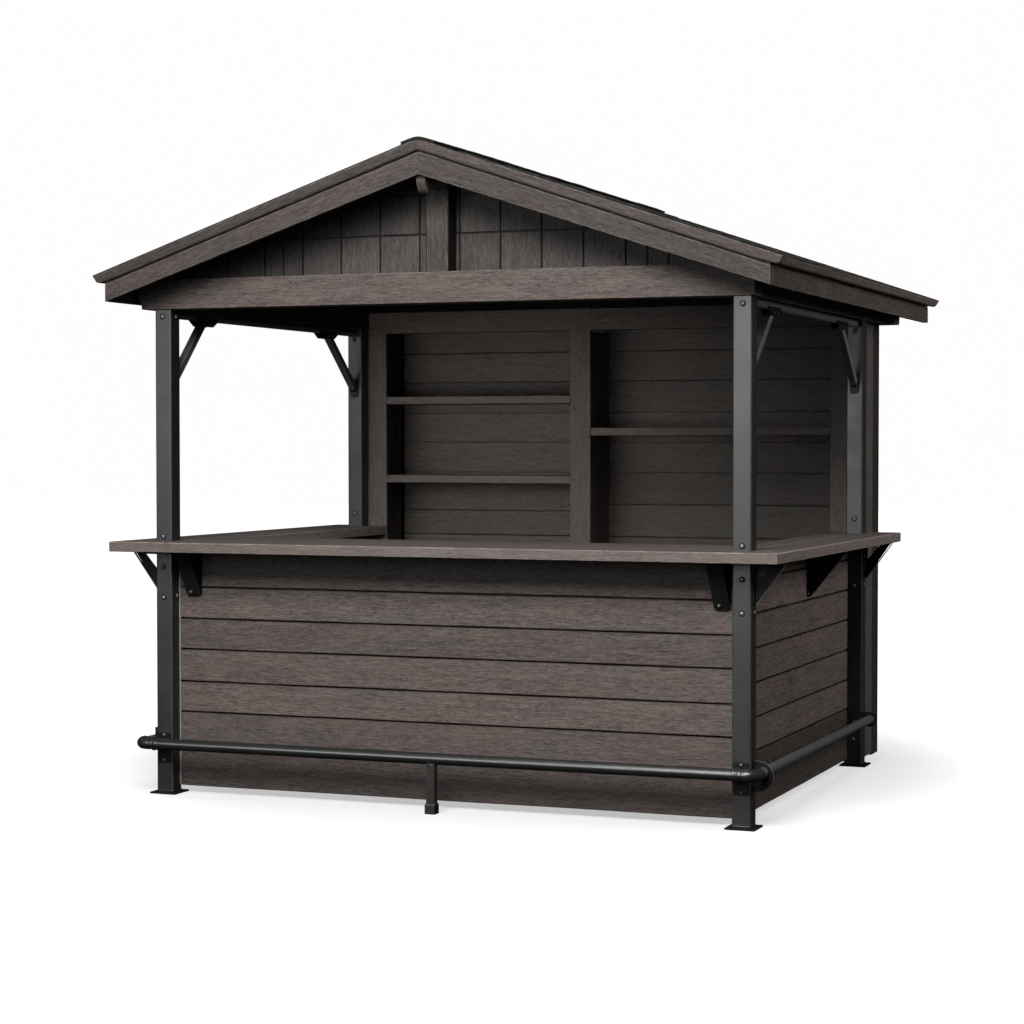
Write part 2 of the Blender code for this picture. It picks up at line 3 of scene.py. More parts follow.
import bmesh
import bpy
import numpy as np
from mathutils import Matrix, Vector


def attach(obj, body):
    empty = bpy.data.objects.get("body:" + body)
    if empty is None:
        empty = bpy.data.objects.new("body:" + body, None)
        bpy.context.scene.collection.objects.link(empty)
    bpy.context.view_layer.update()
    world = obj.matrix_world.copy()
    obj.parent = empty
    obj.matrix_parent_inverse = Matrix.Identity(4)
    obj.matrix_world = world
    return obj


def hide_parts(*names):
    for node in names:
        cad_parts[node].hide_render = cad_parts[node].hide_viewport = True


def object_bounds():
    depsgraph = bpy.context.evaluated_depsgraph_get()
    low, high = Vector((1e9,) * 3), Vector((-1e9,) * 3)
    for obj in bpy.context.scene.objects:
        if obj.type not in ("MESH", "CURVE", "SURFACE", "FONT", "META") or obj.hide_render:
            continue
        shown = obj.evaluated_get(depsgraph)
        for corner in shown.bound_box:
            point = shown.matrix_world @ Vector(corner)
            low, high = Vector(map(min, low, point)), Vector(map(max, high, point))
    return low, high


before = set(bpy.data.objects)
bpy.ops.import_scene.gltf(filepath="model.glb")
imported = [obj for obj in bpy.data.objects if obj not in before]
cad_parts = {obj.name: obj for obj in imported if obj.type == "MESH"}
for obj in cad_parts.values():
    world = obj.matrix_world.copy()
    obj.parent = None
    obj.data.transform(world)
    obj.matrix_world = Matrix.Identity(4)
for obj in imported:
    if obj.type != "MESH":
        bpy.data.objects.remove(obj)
CAD_BOX = [[float(c) for c in corner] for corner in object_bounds()]

# Pieces are laid out in front coordinates: X and Z as in the frame, Y measured
# from the front face of the front posts. FRONT carries them into the frame.
FRONT = -1.2705
GAP = 0.0003

POST, POST_X, POST_Y2, POST_TOP = 0.076, 1.295, 1.873, 2.038
POST_C = POST_X - POST / 2.0
TOP_Z, TOP_T, TOP_X = 1.067, 0.042, 1.436
UNDER = TOP_Z - TOP_T
PANEL_Y, PANEL_X = 0.066, 1.230
UNIT_Y0, UNIT_X, STILE_XI = 1.9545, 1.250, 1.124
SIDE_YE, BACK_Y0, BACK_Y1, REAR_Y = 2.285, 2.330, 2.375, 2.412
EAVE_X, BARGE_Y0, BARGE_Y1, BOARD_T = 1.4176, -0.197, 2.738, 0.022
APEX_TOP, EAVE_TOP, APEX_LOW, EAVE_LOW = 2.6225, 2.1412, 2.5284, 2.0627
SLOPE = (APEX_TOP - EAVE_TOP) / EAVE_X
ROOF_Y0, ROOF_Y1 = BARGE_Y0 - 0.010, BARGE_Y1 + 0.010
BEAM_Y0, BEAM_Y1, BEAM_Z1, BEAM_X = -0.012, 0.096, 2.162, 1.345
RAIL_R, RAIL_Y, RAIL_X, RAIL_Z = 0.0245, -0.075, 1.335, 0.220

SIDES = (("left", -1.0), ("right", 1.0))
X, Y, Z = np.eye(3)
RISE = math.atan(SLOPE)


def roof(x, up=0.0):
    """Height of the roof deck's underside at x, plus up."""
    return APEX_TOP - SLOPE * abs(x) + up


# ------------------------------------------------------------- materials

def node(tree, kind, values=(), **props):
    made = tree.nodes.new(kind)
    for key, value in props.items():
        setattr(made, key, value)
    for key, value in dict(values).items():
        socket = made.inputs[key]
        if isinstance(value, bpy.types.NodeSocket):
            tree.links.new(value, socket)
        else:
            socket.default_value = value
    return made


class Shade:
    """Short hand for the nodes of one material."""

    def __init__(self, name):
        self.mat = bpy.data.materials.new(name)
        self.mat.use_nodes = True
        self.tree = self.mat.node_tree
        self.bsdf = self.tree.nodes["Principled BSDF"]

    def attr(self, name):
        return node(self.tree, "ShaderNodeAttribute", attribute_name=name, attribute_type="GEOMETRY")

    def math(self, op, a, b=0.0, c=0.0, clamp=False):
        made = node(self.tree, "ShaderNodeMath", {0: a, 1: b, 2: c}, operation=op, use_clamp=clamp)
        return made.outputs[0]

    def vec(self, op, a, b=(0, 0, 0)):
        made = node(self.tree, "ShaderNodeVectorMath", {0: a, 1: b}, operation=op)
        return made.outputs[0]

    def noise(self, vector, scale=1.0, detail=2.0, rough=0.5, distort=0.0):
        made = node(self.tree, "ShaderNodeTexNoise", {
            "Vector": vector, "Scale": scale, "Detail": detail,
            "Roughness": rough, "Distortion": distort}, noise_dimensions="3D")
        return made.outputs["Fac"]

    def cells(self, vector, scale, kind="F1"):
        made = node(self.tree, "ShaderNodeTexVoronoi", {"Vector": vector, "Scale": scale},
                    voronoi_dimensions="3D", feature=kind)
        return made

    def span(self, value, a, b, c=0.0, d=1.0, smooth=False):
        made = node(self.tree, "ShaderNodeMapRange", {
            "Value": value, "From Min": a, "From Max": b, "To Min": c, "To Max": d},
            interpolation_type="SMOOTHSTEP" if smooth else "LINEAR", clamp=True)
        return made.outputs["Result"]

    def ramp(self, value, stops):
        made = node(self.tree, "ShaderNodeValToRGB", {"Fac": value})
        ends = made.color_ramp.elements
        while len(ends) < len(stops):
            ends.new(0.5)
        for element, (place, colour) in zip(ends, stops):
            element.position = place
            element.color = (*colour, 1.0)
        return made.outputs["Color"]

    def mix(self, fac, a, b, blend="MIX"):
        made = node(self.tree, "ShaderNodeMix", data_type="RGBA", blend_type=blend)
        for socket, value in ((made.inputs[0], fac), (made.inputs[6], a), (made.inputs[7], b)):
            if isinstance(value, bpy.types.NodeSocket):
                self.tree.links.new(value, socket)
            elif isinstance(value, tuple):
                socket.default_value = (*value, 1.0)
            else:
                socket.default_value = value
        return made.outputs[2]

    def bump(self, height, distance, strength=1.0, normal=None):
        values = {"Height": height, "Distance": distance, "Strength": strength}
        if normal is not None:
            values["Normal"] = normal
        return node(self.tree, "ShaderNodeBump", values).outputs["Normal"]

    def finish(self, colour, rough, normal, **plain):
        self.tree.links.new(colour, self.bsdf.inputs["Base Color"])
        self.tree.links.new(rough, self.bsdf.inputs["Roughness"])
        self.tree.links.new(normal, self.bsdf.inputs["Normal"])
        for key, value in plain.items():
            self.bsdf.inputs[key.replace("_", " ")].default_value = value
        return self.mat


def wood(name, dark, mid, light, worn, contrast=1.55, tone_depth=0.14):
    """Stained board: long fibres, soft streaks, blotches, pores, worn edges, tops darkened as painted shade."""
    s = Shade(name)
    g = s.attr("grain").outputs["Vector"]
    tone = s.attr("tone").outputs["Fac"]
    edge = s.attr("edge").outputs["Fac"]
    # the grain wanders a little sideways along the board
    drift = s.noise(s.vec("MULTIPLY", g, (1.7, 6.0, 6.0)), detail=1.5, rough=0.45)
    shift = s.math("MULTIPLY_ADD", drift, 0.022, -0.011)
    fine_drift = s.noise(s.vec("MULTIPLY", g, (21.0, 60.0, 60.0)), detail=1.0)
    shift = s.math("MULTIPLY_ADD", fine_drift, 0.0026, shift)
    offset = node(s.tree, "ShaderNodeCombineXYZ", {0: 0.0, 1: shift, 2: shift}).outputs[0]
    w = s.vec("ADD", g, offset)
    fibre = s.noise(s.vec("MULTIPLY", w, (26.0, 270.0, 270.0)), detail=3.0, rough=0.62)
    streak = s.noise(s.vec("MULTIPLY", w, (6.5, 85.0, 85.0)), detail=2.5, rough=0.55)
    blotch = s.noise(s.vec("MULTIPLY", g, (3.6, 11.0, 11.0)), detail=2.0, rough=0.5)
    speck = s.noise(s.vec("MULTIPLY", g, (105.0, 300.0, 300.0)), detail=2.0, rough=0.65)
    pore = s.noise(s.vec("MULTIPLY", w, (48.0, 680.0, 680.0)), detail=1.5, rough=0.5)
    pores = s.span(pore, 0.30, 0.42, 1.0, 0.0, smooth=True)
    fibre_c = s.span(fibre, 0.30, 0.70)
    value = s.math("MULTIPLY", fibre_c, 0.44)
    value = s.math("MULTIPLY_ADD", s.span(streak, 0.32, 0.68), 0.18, value)
    value = s.math("MULTIPLY_ADD", s.span(blotch, 0.30, 0.70), 0.10, value)
    value = s.math("MULTIPLY_ADD", s.span(speck, 0.30, 0.70), 0.28, value)
    value = s.math("MULTIPLY_ADD", s.math("SUBTRACT", value, 0.5), contrast, 0.5)
    colour = s.ramp(value, [(0.10, dark), (0.50, mid), (0.92, light)])
    # each board is a little lighter or darker, and a little redder or greyer
    bright = s.math("MULTIPLY_ADD", tone, tone_depth, 1.0)
    hue = node(s.tree, "ShaderNodeHueSaturation", {
        "Hue": 0.5, "Saturation": s.math("MULTIPLY_ADD", blotch, 0.9, 0.55),
        "Value": bright, "Fac": 1.0, "Color": colour}).outputs["Color"]
    colour = s.mix(s.math("MULTIPLY", pores, 0.38), hue, tuple(0.45 * c for c in dark))
    # rubbed arrises
    edge_noise = s.noise(s.vec("MULTIPLY", g, (19.0, 40.0, 40.0)), detail=3.0, rough=0.7)
    worn_edge = s.span(edge, 0.0, 1.0)
    pale_edge = s.math("MULTIPLY", worn_edge, s.span(edge_noise, 0.40, 0.66, 0.08, 0.62, smooth=True))
    colour = s.mix(pale_edge, colour, worn)
    # flat tops darkened as painted shade, and arrises marked below zero stained dark at the joints
    top_shade_and_dark_arris = s.math("MULTIPLY", s.span(edge, -1.0, 0.0, 1.0, 0.0), s.span(blotch, 0.2, 0.8, 0.42, 0.58))
    colour = s.mix(top_shade_and_dark_arris, colour, tuple(0.35 * c for c in mid))
    rough = s.span(fibre, 0.3, 0.7, 0.74, 0.60)
    height = s.math("MULTIPLY_ADD", pores, -0.55, s.math("MULTIPLY_ADD", streak, 0.5, fibre))
    normal = s.bump(height, 0.0011, 0.55)
    return s.finish(colour, rough, normal, Specular_IOR_Level=0.22)


def steel(name, base, painted_highlight, low=0.36, high=0.50, peel=0.00010, shine=0.5, dusty=0.55):
    """Powder coat: fine orange peel, faint dust, edges painted paler as a highlight."""
    s = Shade(name)
    g = s.attr("grain").outputs["Vector"]
    tone = s.attr("tone").outputs["Fac"]
    edge = s.attr("edge").outputs["Fac"]
    grit = s.noise(g, 620.0, detail=1.5, rough=0.6)
    cloud = s.noise(g, 7.0, detail=3.0, rough=0.6)
    smear = s.noise(s.vec("MULTIPLY", g, (5.0, 55.0, 55.0)), detail=2.0)
    dust = s.math("MULTIPLY", s.span(cloud, 0.35, 0.75), s.span(smear, 0.3, 0.75))
    value = s.math("MULTIPLY_ADD", dust, dusty, s.math("MULTIPLY_ADD", tone, 0.12, 0.25), clamp=True)
    colour = s.mix(value, tuple(0.72 * c for c in base), tuple(1.45 * c for c in base))
    # paler arrises: a painted highlight along the rounded edges, broken up by noise
    edge_noise = s.noise(g, 85.0, detail=3.0, rough=0.7)
    pale_edge = s.math("MULTIPLY", edge, s.span(edge_noise, 0.45, 0.66, 0.30, 0.75, smooth=True))
    colour = s.mix(pale_edge, colour, painted_highlight)
    rough = s.math("MULTIPLY_ADD", grit, 0.06, s.span(cloud, 0.3, 0.7, low, high))
    normal = s.bump(grit, peel, 1.0)
    return s.finish(colour, rough, normal, Specular_IOR_Level=shine)


def granules(name, dark, light, warm):
    """Mineral-faced shingle: coloured granules, patchy warm tint, tab to tab change, painted shadow on the rounded
    edges.
    """
    s = Shade(name)
    g = s.attr("grain").outputs["Vector"]
    tone = s.attr("tone").outputs["Fac"]
    edge = s.attr("edge").outputs["Fac"]
    cell = s.cells(g, 520.0)
    pick = node(s.tree, "ShaderNodeSeparateColor", {"Color": cell.outputs["Color"]}).outputs[0]
    clump = s.noise(g, 55.0, detail=4.0, rough=0.7)
    patch = s.noise(g, 9.0, detail=2.0)
    value = s.math("MULTIPLY_ADD", s.span(clump, 0.32, 0.68), 0.45, s.math("MULTIPLY", pick, 0.40))
    value = s.math("MULTIPLY_ADD", tone, 0.17, value)
    colour = s.ramp(value, [(0.08, tuple(0.5 * c for c in dark)), (0.42, dark), (0.98, light)])
    colour = s.mix(s.math("MULTIPLY", s.span(patch, 0.45, 0.70), 0.5), colour, s.mix(0.5, colour, warm))
    # rounded edges of each tab darker: a painted shadow line
    colour = s.mix(s.math("MULTIPLY", edge, 0.35), colour, tuple(0.5 * c for c in dark))
    rough = s.span(pick, 0.0, 1.0, 0.78, 0.97)
    height = s.math("MULTIPLY_ADD", clump, 0.8, s.span(cell.outputs["Distance"], 0.0, 0.8, 1.0, 0.0))
    normal = s.bump(height, 0.0011, 0.8)
    return s.finish(colour, rough, normal, Specular_IOR_Level=0.25)


BOARD = wood("stained_board", (0.046, 0.0350, 0.0300), (0.106, 0.0835, 0.0740),
             (0.172, 0.139, 0.125), (0.225, 0.190, 0.172))
# darker copy of the board stain: painted shade for the side beams and the roof boards under the eaves
DARK_BOARD = wood("stained_board_shaded", (0.014, 0.0115, 0.0100), (0.034, 0.0285, 0.0252),
                  (0.058, 0.049, 0.044), (0.08, 0.069, 0.062))
COUNTER = wood("counter_board", (0.072, 0.0570, 0.0505), (0.140, 0.1140, 0.1030),
               (0.205, 0.172, 0.157), (0.330, 0.285, 0.262), contrast=1.1, tone_depth=0.09)
STEEL = steel("black_steel", (0.0130, 0.0134, 0.0148), (0.080, 0.081, 0.085), 0.30, 0.42)
DULL_STEEL = steel("black_steel_dull", (0.0075, 0.0075, 0.0080), (0.040, 0.040, 0.041), 0.50, 0.64, shine=0.35)
BOLT = steel("black_bolt", (0.120, 0.121, 0.125), (0.30, 0.30, 0.31), 0.20, 0.30, 0.00005, shine=1.0)
TRIM = steel("edge_strip", (0.300, 0.300, 0.305), (0.42, 0.42, 0.42), 0.34, 0.46)
SHINGLE = granules("shingle", (0.022, 0.0210, 0.0200), (0.082, 0.080, 0.078), (0.050, 0.042, 0.036))
BLACK = steel("black_steel_shaded", (0.0030, 0.0030, 0.0032), (0.016, 0.016, 0.016), 0.62, 0.76, shine=0.2)
# near-black copy of the board stain: painted shade for backings behind joints, recesses and faces under the roof
SHADE_BOARD = wood("stained_board_painted_shade", (0.004, 0.0032, 0.0028), (0.009, 0.0075, 0.0066),
             (0.016, 0.0135, 0.012), (0.02, 0.017, 0.015))
# darker copy of the board stain: painted shade on the gables under the roof's overhang
GABLE_BOARD = wood("stained_board_gable_shaded", (0.021, 0.0176, 0.0158), (0.049, 0.0418, 0.0384),
                   (0.088, 0.0768, 0.0710), (0.120, 0.106, 0.099), contrast=1.25)
RAIL_STEEL = steel("black_steel_rail", (0.0150, 0.0150, 0.0156), (0.060, 0.060, 0.062), 0.26, 0.30, 0.00001, shine=0.8,
                   dusty=0.15)
# paler copy of the black steel: a painted highlight on header bars, braces, side rails, bracket lips and the plate's
# rim
PALE_STEEL = steel("black_steel_painted_highlight", (0.085, 0.085, 0.087), (0.15, 0.15, 0.153), 0.34, 0.46, dusty=0.3)
INNER_BOARD = wood("stained_board_unit", (0.050, 0.0415, 0.0365), (0.104, 0.0885, 0.0785),
                   (0.150, 0.130, 0.117), (0.185, 0.163, 0.148), contrast=0.95)
POST_SHEET = steel("black_steel_sheet", (0.026, 0.0235, 0.0215), (0.050, 0.046, 0.043), 0.50, 0.62, shine=0.3)
MATS = [BOARD, DARK_BOARD, COUNTER, STEEL, DULL_STEEL, BOLT, TRIM, SHINGLE, BLACK, SHADE_BOARD, GABLE_BOARD, RAIL_STEEL,
        PALE_STEEL, INNER_BOARD, POST_SHEET]
(M_BOARD, M_DARK, M_COUNTER, M_STEEL, M_DULL, M_BOLT, M_TRIM, M_SHINGLE, M_BLACK, M_SHADE_BOARD, M_GABLE, M_RAIL,
 M_PALE, M_UNIT, M_SHEET) = range(15)


# ------------------------------------------------------------- mesh building

def unit(v):
    v = np.asarray(v, float)
    return v / np.linalg.norm(v)


class Build:
    """Solids gathered into one piece, each with its own run of grain and tone."""

    def __init__(self, name, nodes, slot, mat, seed):
        self.name, self.nodes, self.slot, self.mat = name, nodes, slot, mat
        self.rng = np.random.default_rng(seed)
        self.co, self.grain, self.tone = [], [], []
        self.faces, self.edge, self.mats = [], [], []
        self.count = 0

    def add(self, verts, faces, edge, axes, mat=None, tone=None, off=None):
        verts = np.asarray(verts, float)
        axes = np.asarray(axes, float)
        if off is None:
            off = self.rng.uniform(-20.0, 20.0, 3)
        if tone is None:
            tone = float(np.clip(self.rng.normal(0.0, 0.55), -1.2, 1.2))
        self.co.append(verts)
        self.grain.append(verts @ axes.T + off)
        self.tone.append(np.full(len(verts), tone))
        self.faces += [tuple(i + self.count for i in f) for f in faces]
        self.edge += list(edge)
        self.mats += [self.mat if mat is None else mat] * len(faces)
        self.count += len(verts)

    def bar(self, p0, p1, wide, width, thick, r=0.0025, seg=2, steps=1, wob=0.0,
            ends=(True, True), mat=None, tone=None, off=None, rim=1.0):
        """Board between two points, its corners and ends rounded; wob makes its long edges uneven."""
        p0, p1 = np.asarray(p0, float), np.asarray(p1, float)
        along = unit(p1 - p0)
        across = unit(np.asarray(wide, float) - along * np.dot(wide, along))
        up = np.cross(along, across)
        length = float(np.linalg.norm(p1 - p0))
        r = min(r, 0.45 * thick, 0.45 * width)

        def section(inset):
            pts = []
            rr = r - inset
            for cx, cy, a0 in ((1, 1, 0), (-1, 1, 90), (-1, -1, 180), (1, -1, 270)):
                for k in range(seg + 1):
                    a = math.radians(a0 + 90.0 * k / seg)
                    pts.append((cx * (width / 2 - r) + rr * math.cos(a),
                                cy * (thick / 2 - r) + rr * math.sin(a)))
            return pts

        rings = []
        if ends[0]:
            rings += [(0.0, 0.8 * r, 1), (0.32 * r, 0.32 * r, 1)]
        rings.append((r if ends[0] else 0.0, 0.0, 0))
        last = length - (r if ends[1] else 0.0)
        for k in range(1, steps):
            rings.append((rings[-1][0] + (last - rings[-1][0]) / (steps - k + 1), 0.0, 0))
        rings.append((last, 0.0, 0))
        if ends[1]:
            rings += [(length - 0.32 * r, 0.32 * r, 1), (length, 0.8 * r, 1)]
        waves = []
        for _ in range(3):
            lam = self.rng.uniform(0.22, 1.1, 3)
            waves.append((2 * math.pi / lam, self.rng.uniform(0, 6.28, 3), self.rng.uniform(0.4, 1.0, 3)))

        def sway(i, s):
            w, p, a = waves[i]
            return wob * float(np.sum(a * np.sin(w * s + p))) / 2.0

        verts, n = [], 4 * (seg + 1)
        for s, inset, _ in rings:
            hi, lo, face = (sway(0, s), sway(1, s), 0.5 * sway(2, s)) if wob else (0.0, 0.0, 0.0)
            for b, t in section(inset):
                verts.append(p0 + along * s + across * (b + (hi if b > 0 else lo)) + up * (t + face))
        faces, edge = [], []
        for i in range(len(rings) - 1):
            end = rings[i][2] or rings[i + 1][2]
            for k in range(n):
                j = (k + 1) % n
                faces.append((i * n + k, i * n + j, (i + 1) * n + j, (i + 1) * n + k))
                edge.append(rim if end or (k % (seg + 1)) != seg else 0.0)
        faces.append(tuple(range(n))[::-1])
        faces.append(tuple(range((len(rings) - 1) * n, len(rings) * n)))
        edge += [0.0, 0.0]
        self.add(verts, faces, edge, (along, across, up), mat, tone, off)

    def solid(self, bm, axes, r=0.0025, seg=2, angle=25.0, mat=None, tone=None, off=None, square=None, dull_top=False,
              rim=1.0):
        """A bmesh solid with its sharp edges rounded."""
        bmesh.ops.recalc_face_normals(bm, faces=bm.faces)
        rounded = set()
        if r:
            sharp = [e for e in bm.edges if len(e.link_faces) == 2
                     and e.calc_face_angle(0.0) > math.radians(angle)
                     and not (square and all(square(v.co) for v in e.verts))]
            made = bmesh.ops.bevel(bm, geom=sharp, offset=r, offset_type="OFFSET", segments=seg,
                                   profile=0.5, affect="EDGES", clamp_overlap=True)
            rounded = {f for f in made["faces"]}
        bmesh.ops.recalc_face_normals(bm, faces=bm.faces)
        bm.verts.index_update()
        verts = [tuple(v.co) for v in bm.verts]
        faces = [tuple(v.index for v in f.verts) for f in bm.faces]
        # faces looking up can be marked for the painted shade on tops
        edge = [rim if f in rounded else (-1.0 if dull_top and f.normal.z > 0.9 else 0.0) for f in bm.faces]
        bm.free()
        self.add(verts, faces, edge, axes, mat, tone, off)

    def prism(self, points, axis, a, b, axes, **kw):
        """An outline closed between a and b along an axis; its coordinates are the other two, in XYZ order."""
        bm = bmesh.new()
        rows = []
        for value in (a, b):
            rows.append([bm.verts.new({"X": (value, p, q), "Y": (p, value, q), "Z": (p, q, value)}[axis])
                         for p, q in points])
        bm.faces.new(rows[0])
        bm.faces.new(rows[1])
        n = len(points)
        for i in range(n):
            j = (i + 1) % n
            bm.faces.new((rows[0][i], rows[0][j], rows[1][j], rows[1][i]))
        self.solid(bm, axes, **kw)

    def turned(self, origin, axis, profile, sides=16, mat=None, tone=None, edge_from=None):
        """A round solid: profile is (radius, height) from bottom to top, along axis."""
        axis = unit(axis)
        side = unit(np.cross(axis, (0.31, 0.52, 0.79)))
        other = np.cross(axis, side)
        origin = np.asarray(origin, float)
        verts, faces, edge = [], [], []
        for radius, high in profile:
            for k in range(sides):
                t = 2 * math.pi * k / sides
                verts.append(origin + axis * high + (side * math.cos(t) + other * math.sin(t)) * radius)
        for i in range(len(profile) - 1):
            for k in range(sides):
                j = (k + 1) % sides
                faces.append((i * sides + k, i * sides + j, (i + 1) * sides + j, (i + 1) * sides + k))
                edge.append(1.0 if edge_from is not None and i >= edge_from else 0.0)
        faces.append(tuple(range(sides))[::-1])
        faces.append(tuple(range((len(profile) - 1) * sides, len(profile) * sides)))
        edge += [0.0, 0.0]
        self.add(verts, faces, edge, (axis, side, other), mat, tone)

    def bolt(self, at, axis, size=0.0086, mat=None):
        """Domed head on a washer."""
        s = size
        self.turned(at, axis, [(1.42 * s, -0.0010), (1.42 * s, 0.0012), (1.34 * s, 0.0020), (1.05 * s, 0.0020)],
                    18, M_BLACK, edge_from=1)
        self.turned(at, axis, [(s, 0.0018), (0.98 * s, 0.0030), (0.88 * s, 0.0046), (0.66 * s, 0.0060),
                               (0.36 * s, 0.0069), (0.08 * s, 0.0072)], 18, M_BOLT if mat is None else mat)

    def tube(self, path, radius, sides=28, mat=None, tone=None, edge_rings=()):
        """Round bar along a path; radius is one value or one for each point."""
        path = [np.asarray(p, float) for p in path]
        radii = [radius] * len(path) if np.isscalar(radius) else list(radius)
        verts, faces, edge = [], [], []
        normal = None
        run = 0.0
        for i, p in enumerate(path):
            d = unit(path[min(i + 1, len(path) - 1)] - path[max(i - 1, 0)])
            if normal is None:
                ref = np.array((0, 0, 1.0)) if abs(d[2]) < 0.9 else np.array((1.0, 0, 0))
                normal = unit(np.cross(d, ref))
            normal = unit(normal - d * np.dot(normal, d))
            other = np.cross(d, normal)
            for k in range(sides):
                t = 2 * math.pi * k / sides
                verts.append(p + (normal * math.cos(t) + other * math.sin(t)) * radii[i])
        for i in range(len(path) - 1):
            for k in range(sides):
                j = (k + 1) % sides
                faces.append((i * sides + k, i * sides + j, (i + 1) * sides + j, (i + 1) * sides + k))
                edge.append(1.0 if i in edge_rings else 0.0)
        faces.append(tuple(range(sides))[::-1])
        faces.append(tuple(range((len(path) - 1) * sides, len(path) * sides)))
        edge += [0.0, 0.0]
        self.add(verts, faces, edge, (unit(path[-1] - path[0]), Y, Z), mat, tone)

    def make(self, weighted=True):
        co = np.concatenate(self.co) + np.array((0.0, FRONT, 0.0))
        mesh = bpy.data.meshes.new(self.name)
        mesh.from_pydata(co.tolist(), [], self.faces)
        mesh.update()
        used = sorted(set(self.mats))
        for m in used:
            mesh.materials.append(MATS[m])
        mesh.polygons.foreach_set("material_index", [used.index(m) for m in self.mats])
        a = mesh.attributes.new("grain", "FLOAT_VECTOR", "POINT")
        a.data.foreach_set("vector", np.concatenate(self.grain).astype(np.float32).ravel())
        a = mesh.attributes.new("tone", "FLOAT", "POINT")
        a.data.foreach_set("value", np.concatenate(self.tone).astype(np.float32))
        a = mesh.attributes.new("edge", "FLOAT", "FACE")
        a.data.foreach_set("value", np.asarray(self.edge, np.float32))
        work = bmesh.new()
        work.from_mesh(mesh)
        bmesh.ops.recalc_face_normals(work, faces=work.faces)
        work.to_mesh(mesh)
        work.free()
        mesh.shade_smooth()
        mesh.set_sharp_from_angle(angle=math.radians(52.0))
        obj = bpy.data.objects.new(self.name, mesh)
        bpy.context.collection.objects.link(obj)
        if weighted:
            mod = obj.modifiers.new("weighted", "WEIGHTED_NORMAL")
            mod.keep_sharp = True
            mod.weight = 60
        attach(obj, "root")
        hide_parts(*self.nodes)
        return obj


def mirror(points, s):
    return [(s * p, q) for p, q in points]


def clip(polygon, keep):
    """Cut a convex outline by keep(p) >= 0, where keep is linear."""
    out = []
    for i, p in enumerate(polygon):
        q = polygon[(i + 1) % len(polygon)]
        a, b = keep(p), keep(q)
        if a >= 0:
            out.append(p)
        if (a >= 0) != (b >= 0):
            t = a / (a - b)
            out.append((p[0] + (q[0] - p[0]) * t, p[1] + (q[1] - p[1]) * t))
    return out


# ------------------------------------------------------------- posts

def post(where, s, y0, bolts):
    name = where + ("_left" if s < 0 else "_right")
    x, y = s * POST_C, y0 + POST / 2.0
    seed = 11 + int(s) + int(y0 * 10)
    b = Build(name + "_tube", [name + "_post"], "black_steel", M_STEEL, seed)
    half, r, seg = POST / 2.0, 0.0065, 4

    def ring(z, grow=0.0):
        pts = []
        for cx, cy, a0 in ((1, 1, 0), (-1, 1, 90), (-1, -1, 180), (1, -1, 270)):
            for k in range(seg + 1):
                a = math.radians(a0 + 90.0 * k / seg)
                pts.append((x + cx * (half - r) + (r + grow) * math.cos(a),
                            y + cy * (half - r) + (r + grow) * math.sin(a), z))
        return pts

    verts = ring(0.0083, 0.0052) + ring(0.0100, 0.0034) + ring(0.0128, 0.0011) + ring(0.0150)
    levels = 4
    for z in np.linspace(0.10, POST_TOP - 0.002, 8):
        verts += ring(z)
        levels += 1
    verts += ring(POST_TOP, -0.0016)
    levels += 1
    n = 4 * (seg + 1)
    faces, edge = [], []
    for i in range(levels - 1):
        for k in range(n):
            faces.append((i * n + k, i * n + (k + 1) % n, (i + 1) * n + (k + 1) % n, (i + 1) * n + k))
            edge.append(1.0 if (k % (seg + 1)) in (1, 2) else 0.0)
    faces += [tuple(range(n))[::-1], tuple(range((levels - 1) * n, levels * n))]
    edge += [0.0, 0.0]
    b.add(verts, faces, edge, (Z, X, Y), tone=0.2)
    for at, axis in bolts:
        b.bolt(at, axis)
    b.make()
    p = Build(name + "_foot_plate", [name + "_base_plate"], "black_steel", M_BLACK, seed + 40)
    h = 0.0605
    p.bar((x - h, y, 0.004), (x + h, y, 0.004), Y, 2 * h, 0.008, r=0.0022, tone=-0.3)
    # weld bead round the post's foot
    loop = []
    q = half + 0.0018
    for cx, cy, a0 in ((1, 1, 0), (-1, 1, 90), (-1, -1, 180), (1, -1, 270)):
        for k in range(4):
            a = math.radians(a0 + 90.0 * k / 3)
            loop.append((x + cx * (q - 0.007) + 0.007 * math.cos(a), y + cy * (q - 0.007) + 0.007 * math.sin(a)))
    dense = []
    for i, c in enumerate(loop):
        d = loop[(i + 1) % len(loop)]
        steps = max(1, int(math.dist(c, d) / 0.0032))
        dense += [(c[0] + (d[0] - c[0]) * k / steps, c[1] + (d[1] - c[1]) * k / steps) for k in range(steps)]
    m, sides = len(dense), 6
    verts, faces = [], []
    for i, c in enumerate(dense):
        d = np.subtract(dense[(i + 1) % m], dense[i - 1])
        out = unit((d[1], -d[0], 0.0))
        fat = 0.0030 + (0.0005 if i % 2 else 0.0)
        for k in range(sides):
            t = 2 * math.pi * k / sides
            verts.append(np.array((c[0], c[1], 0.0092)) + (out * math.cos(t) + Z * math.sin(t)) * fat)
    for i in range(m):
        for k in range(sides):
            j, l = (k + 1) % sides, (i + 1) % m
            faces.append((i * sides + k, i * sides + j, l * sides + j, l * sides + k))
    p.add(verts, faces, [0.0] * len(faces), (X, Y, Z), M_BLACK, 0.0)
    p.make()


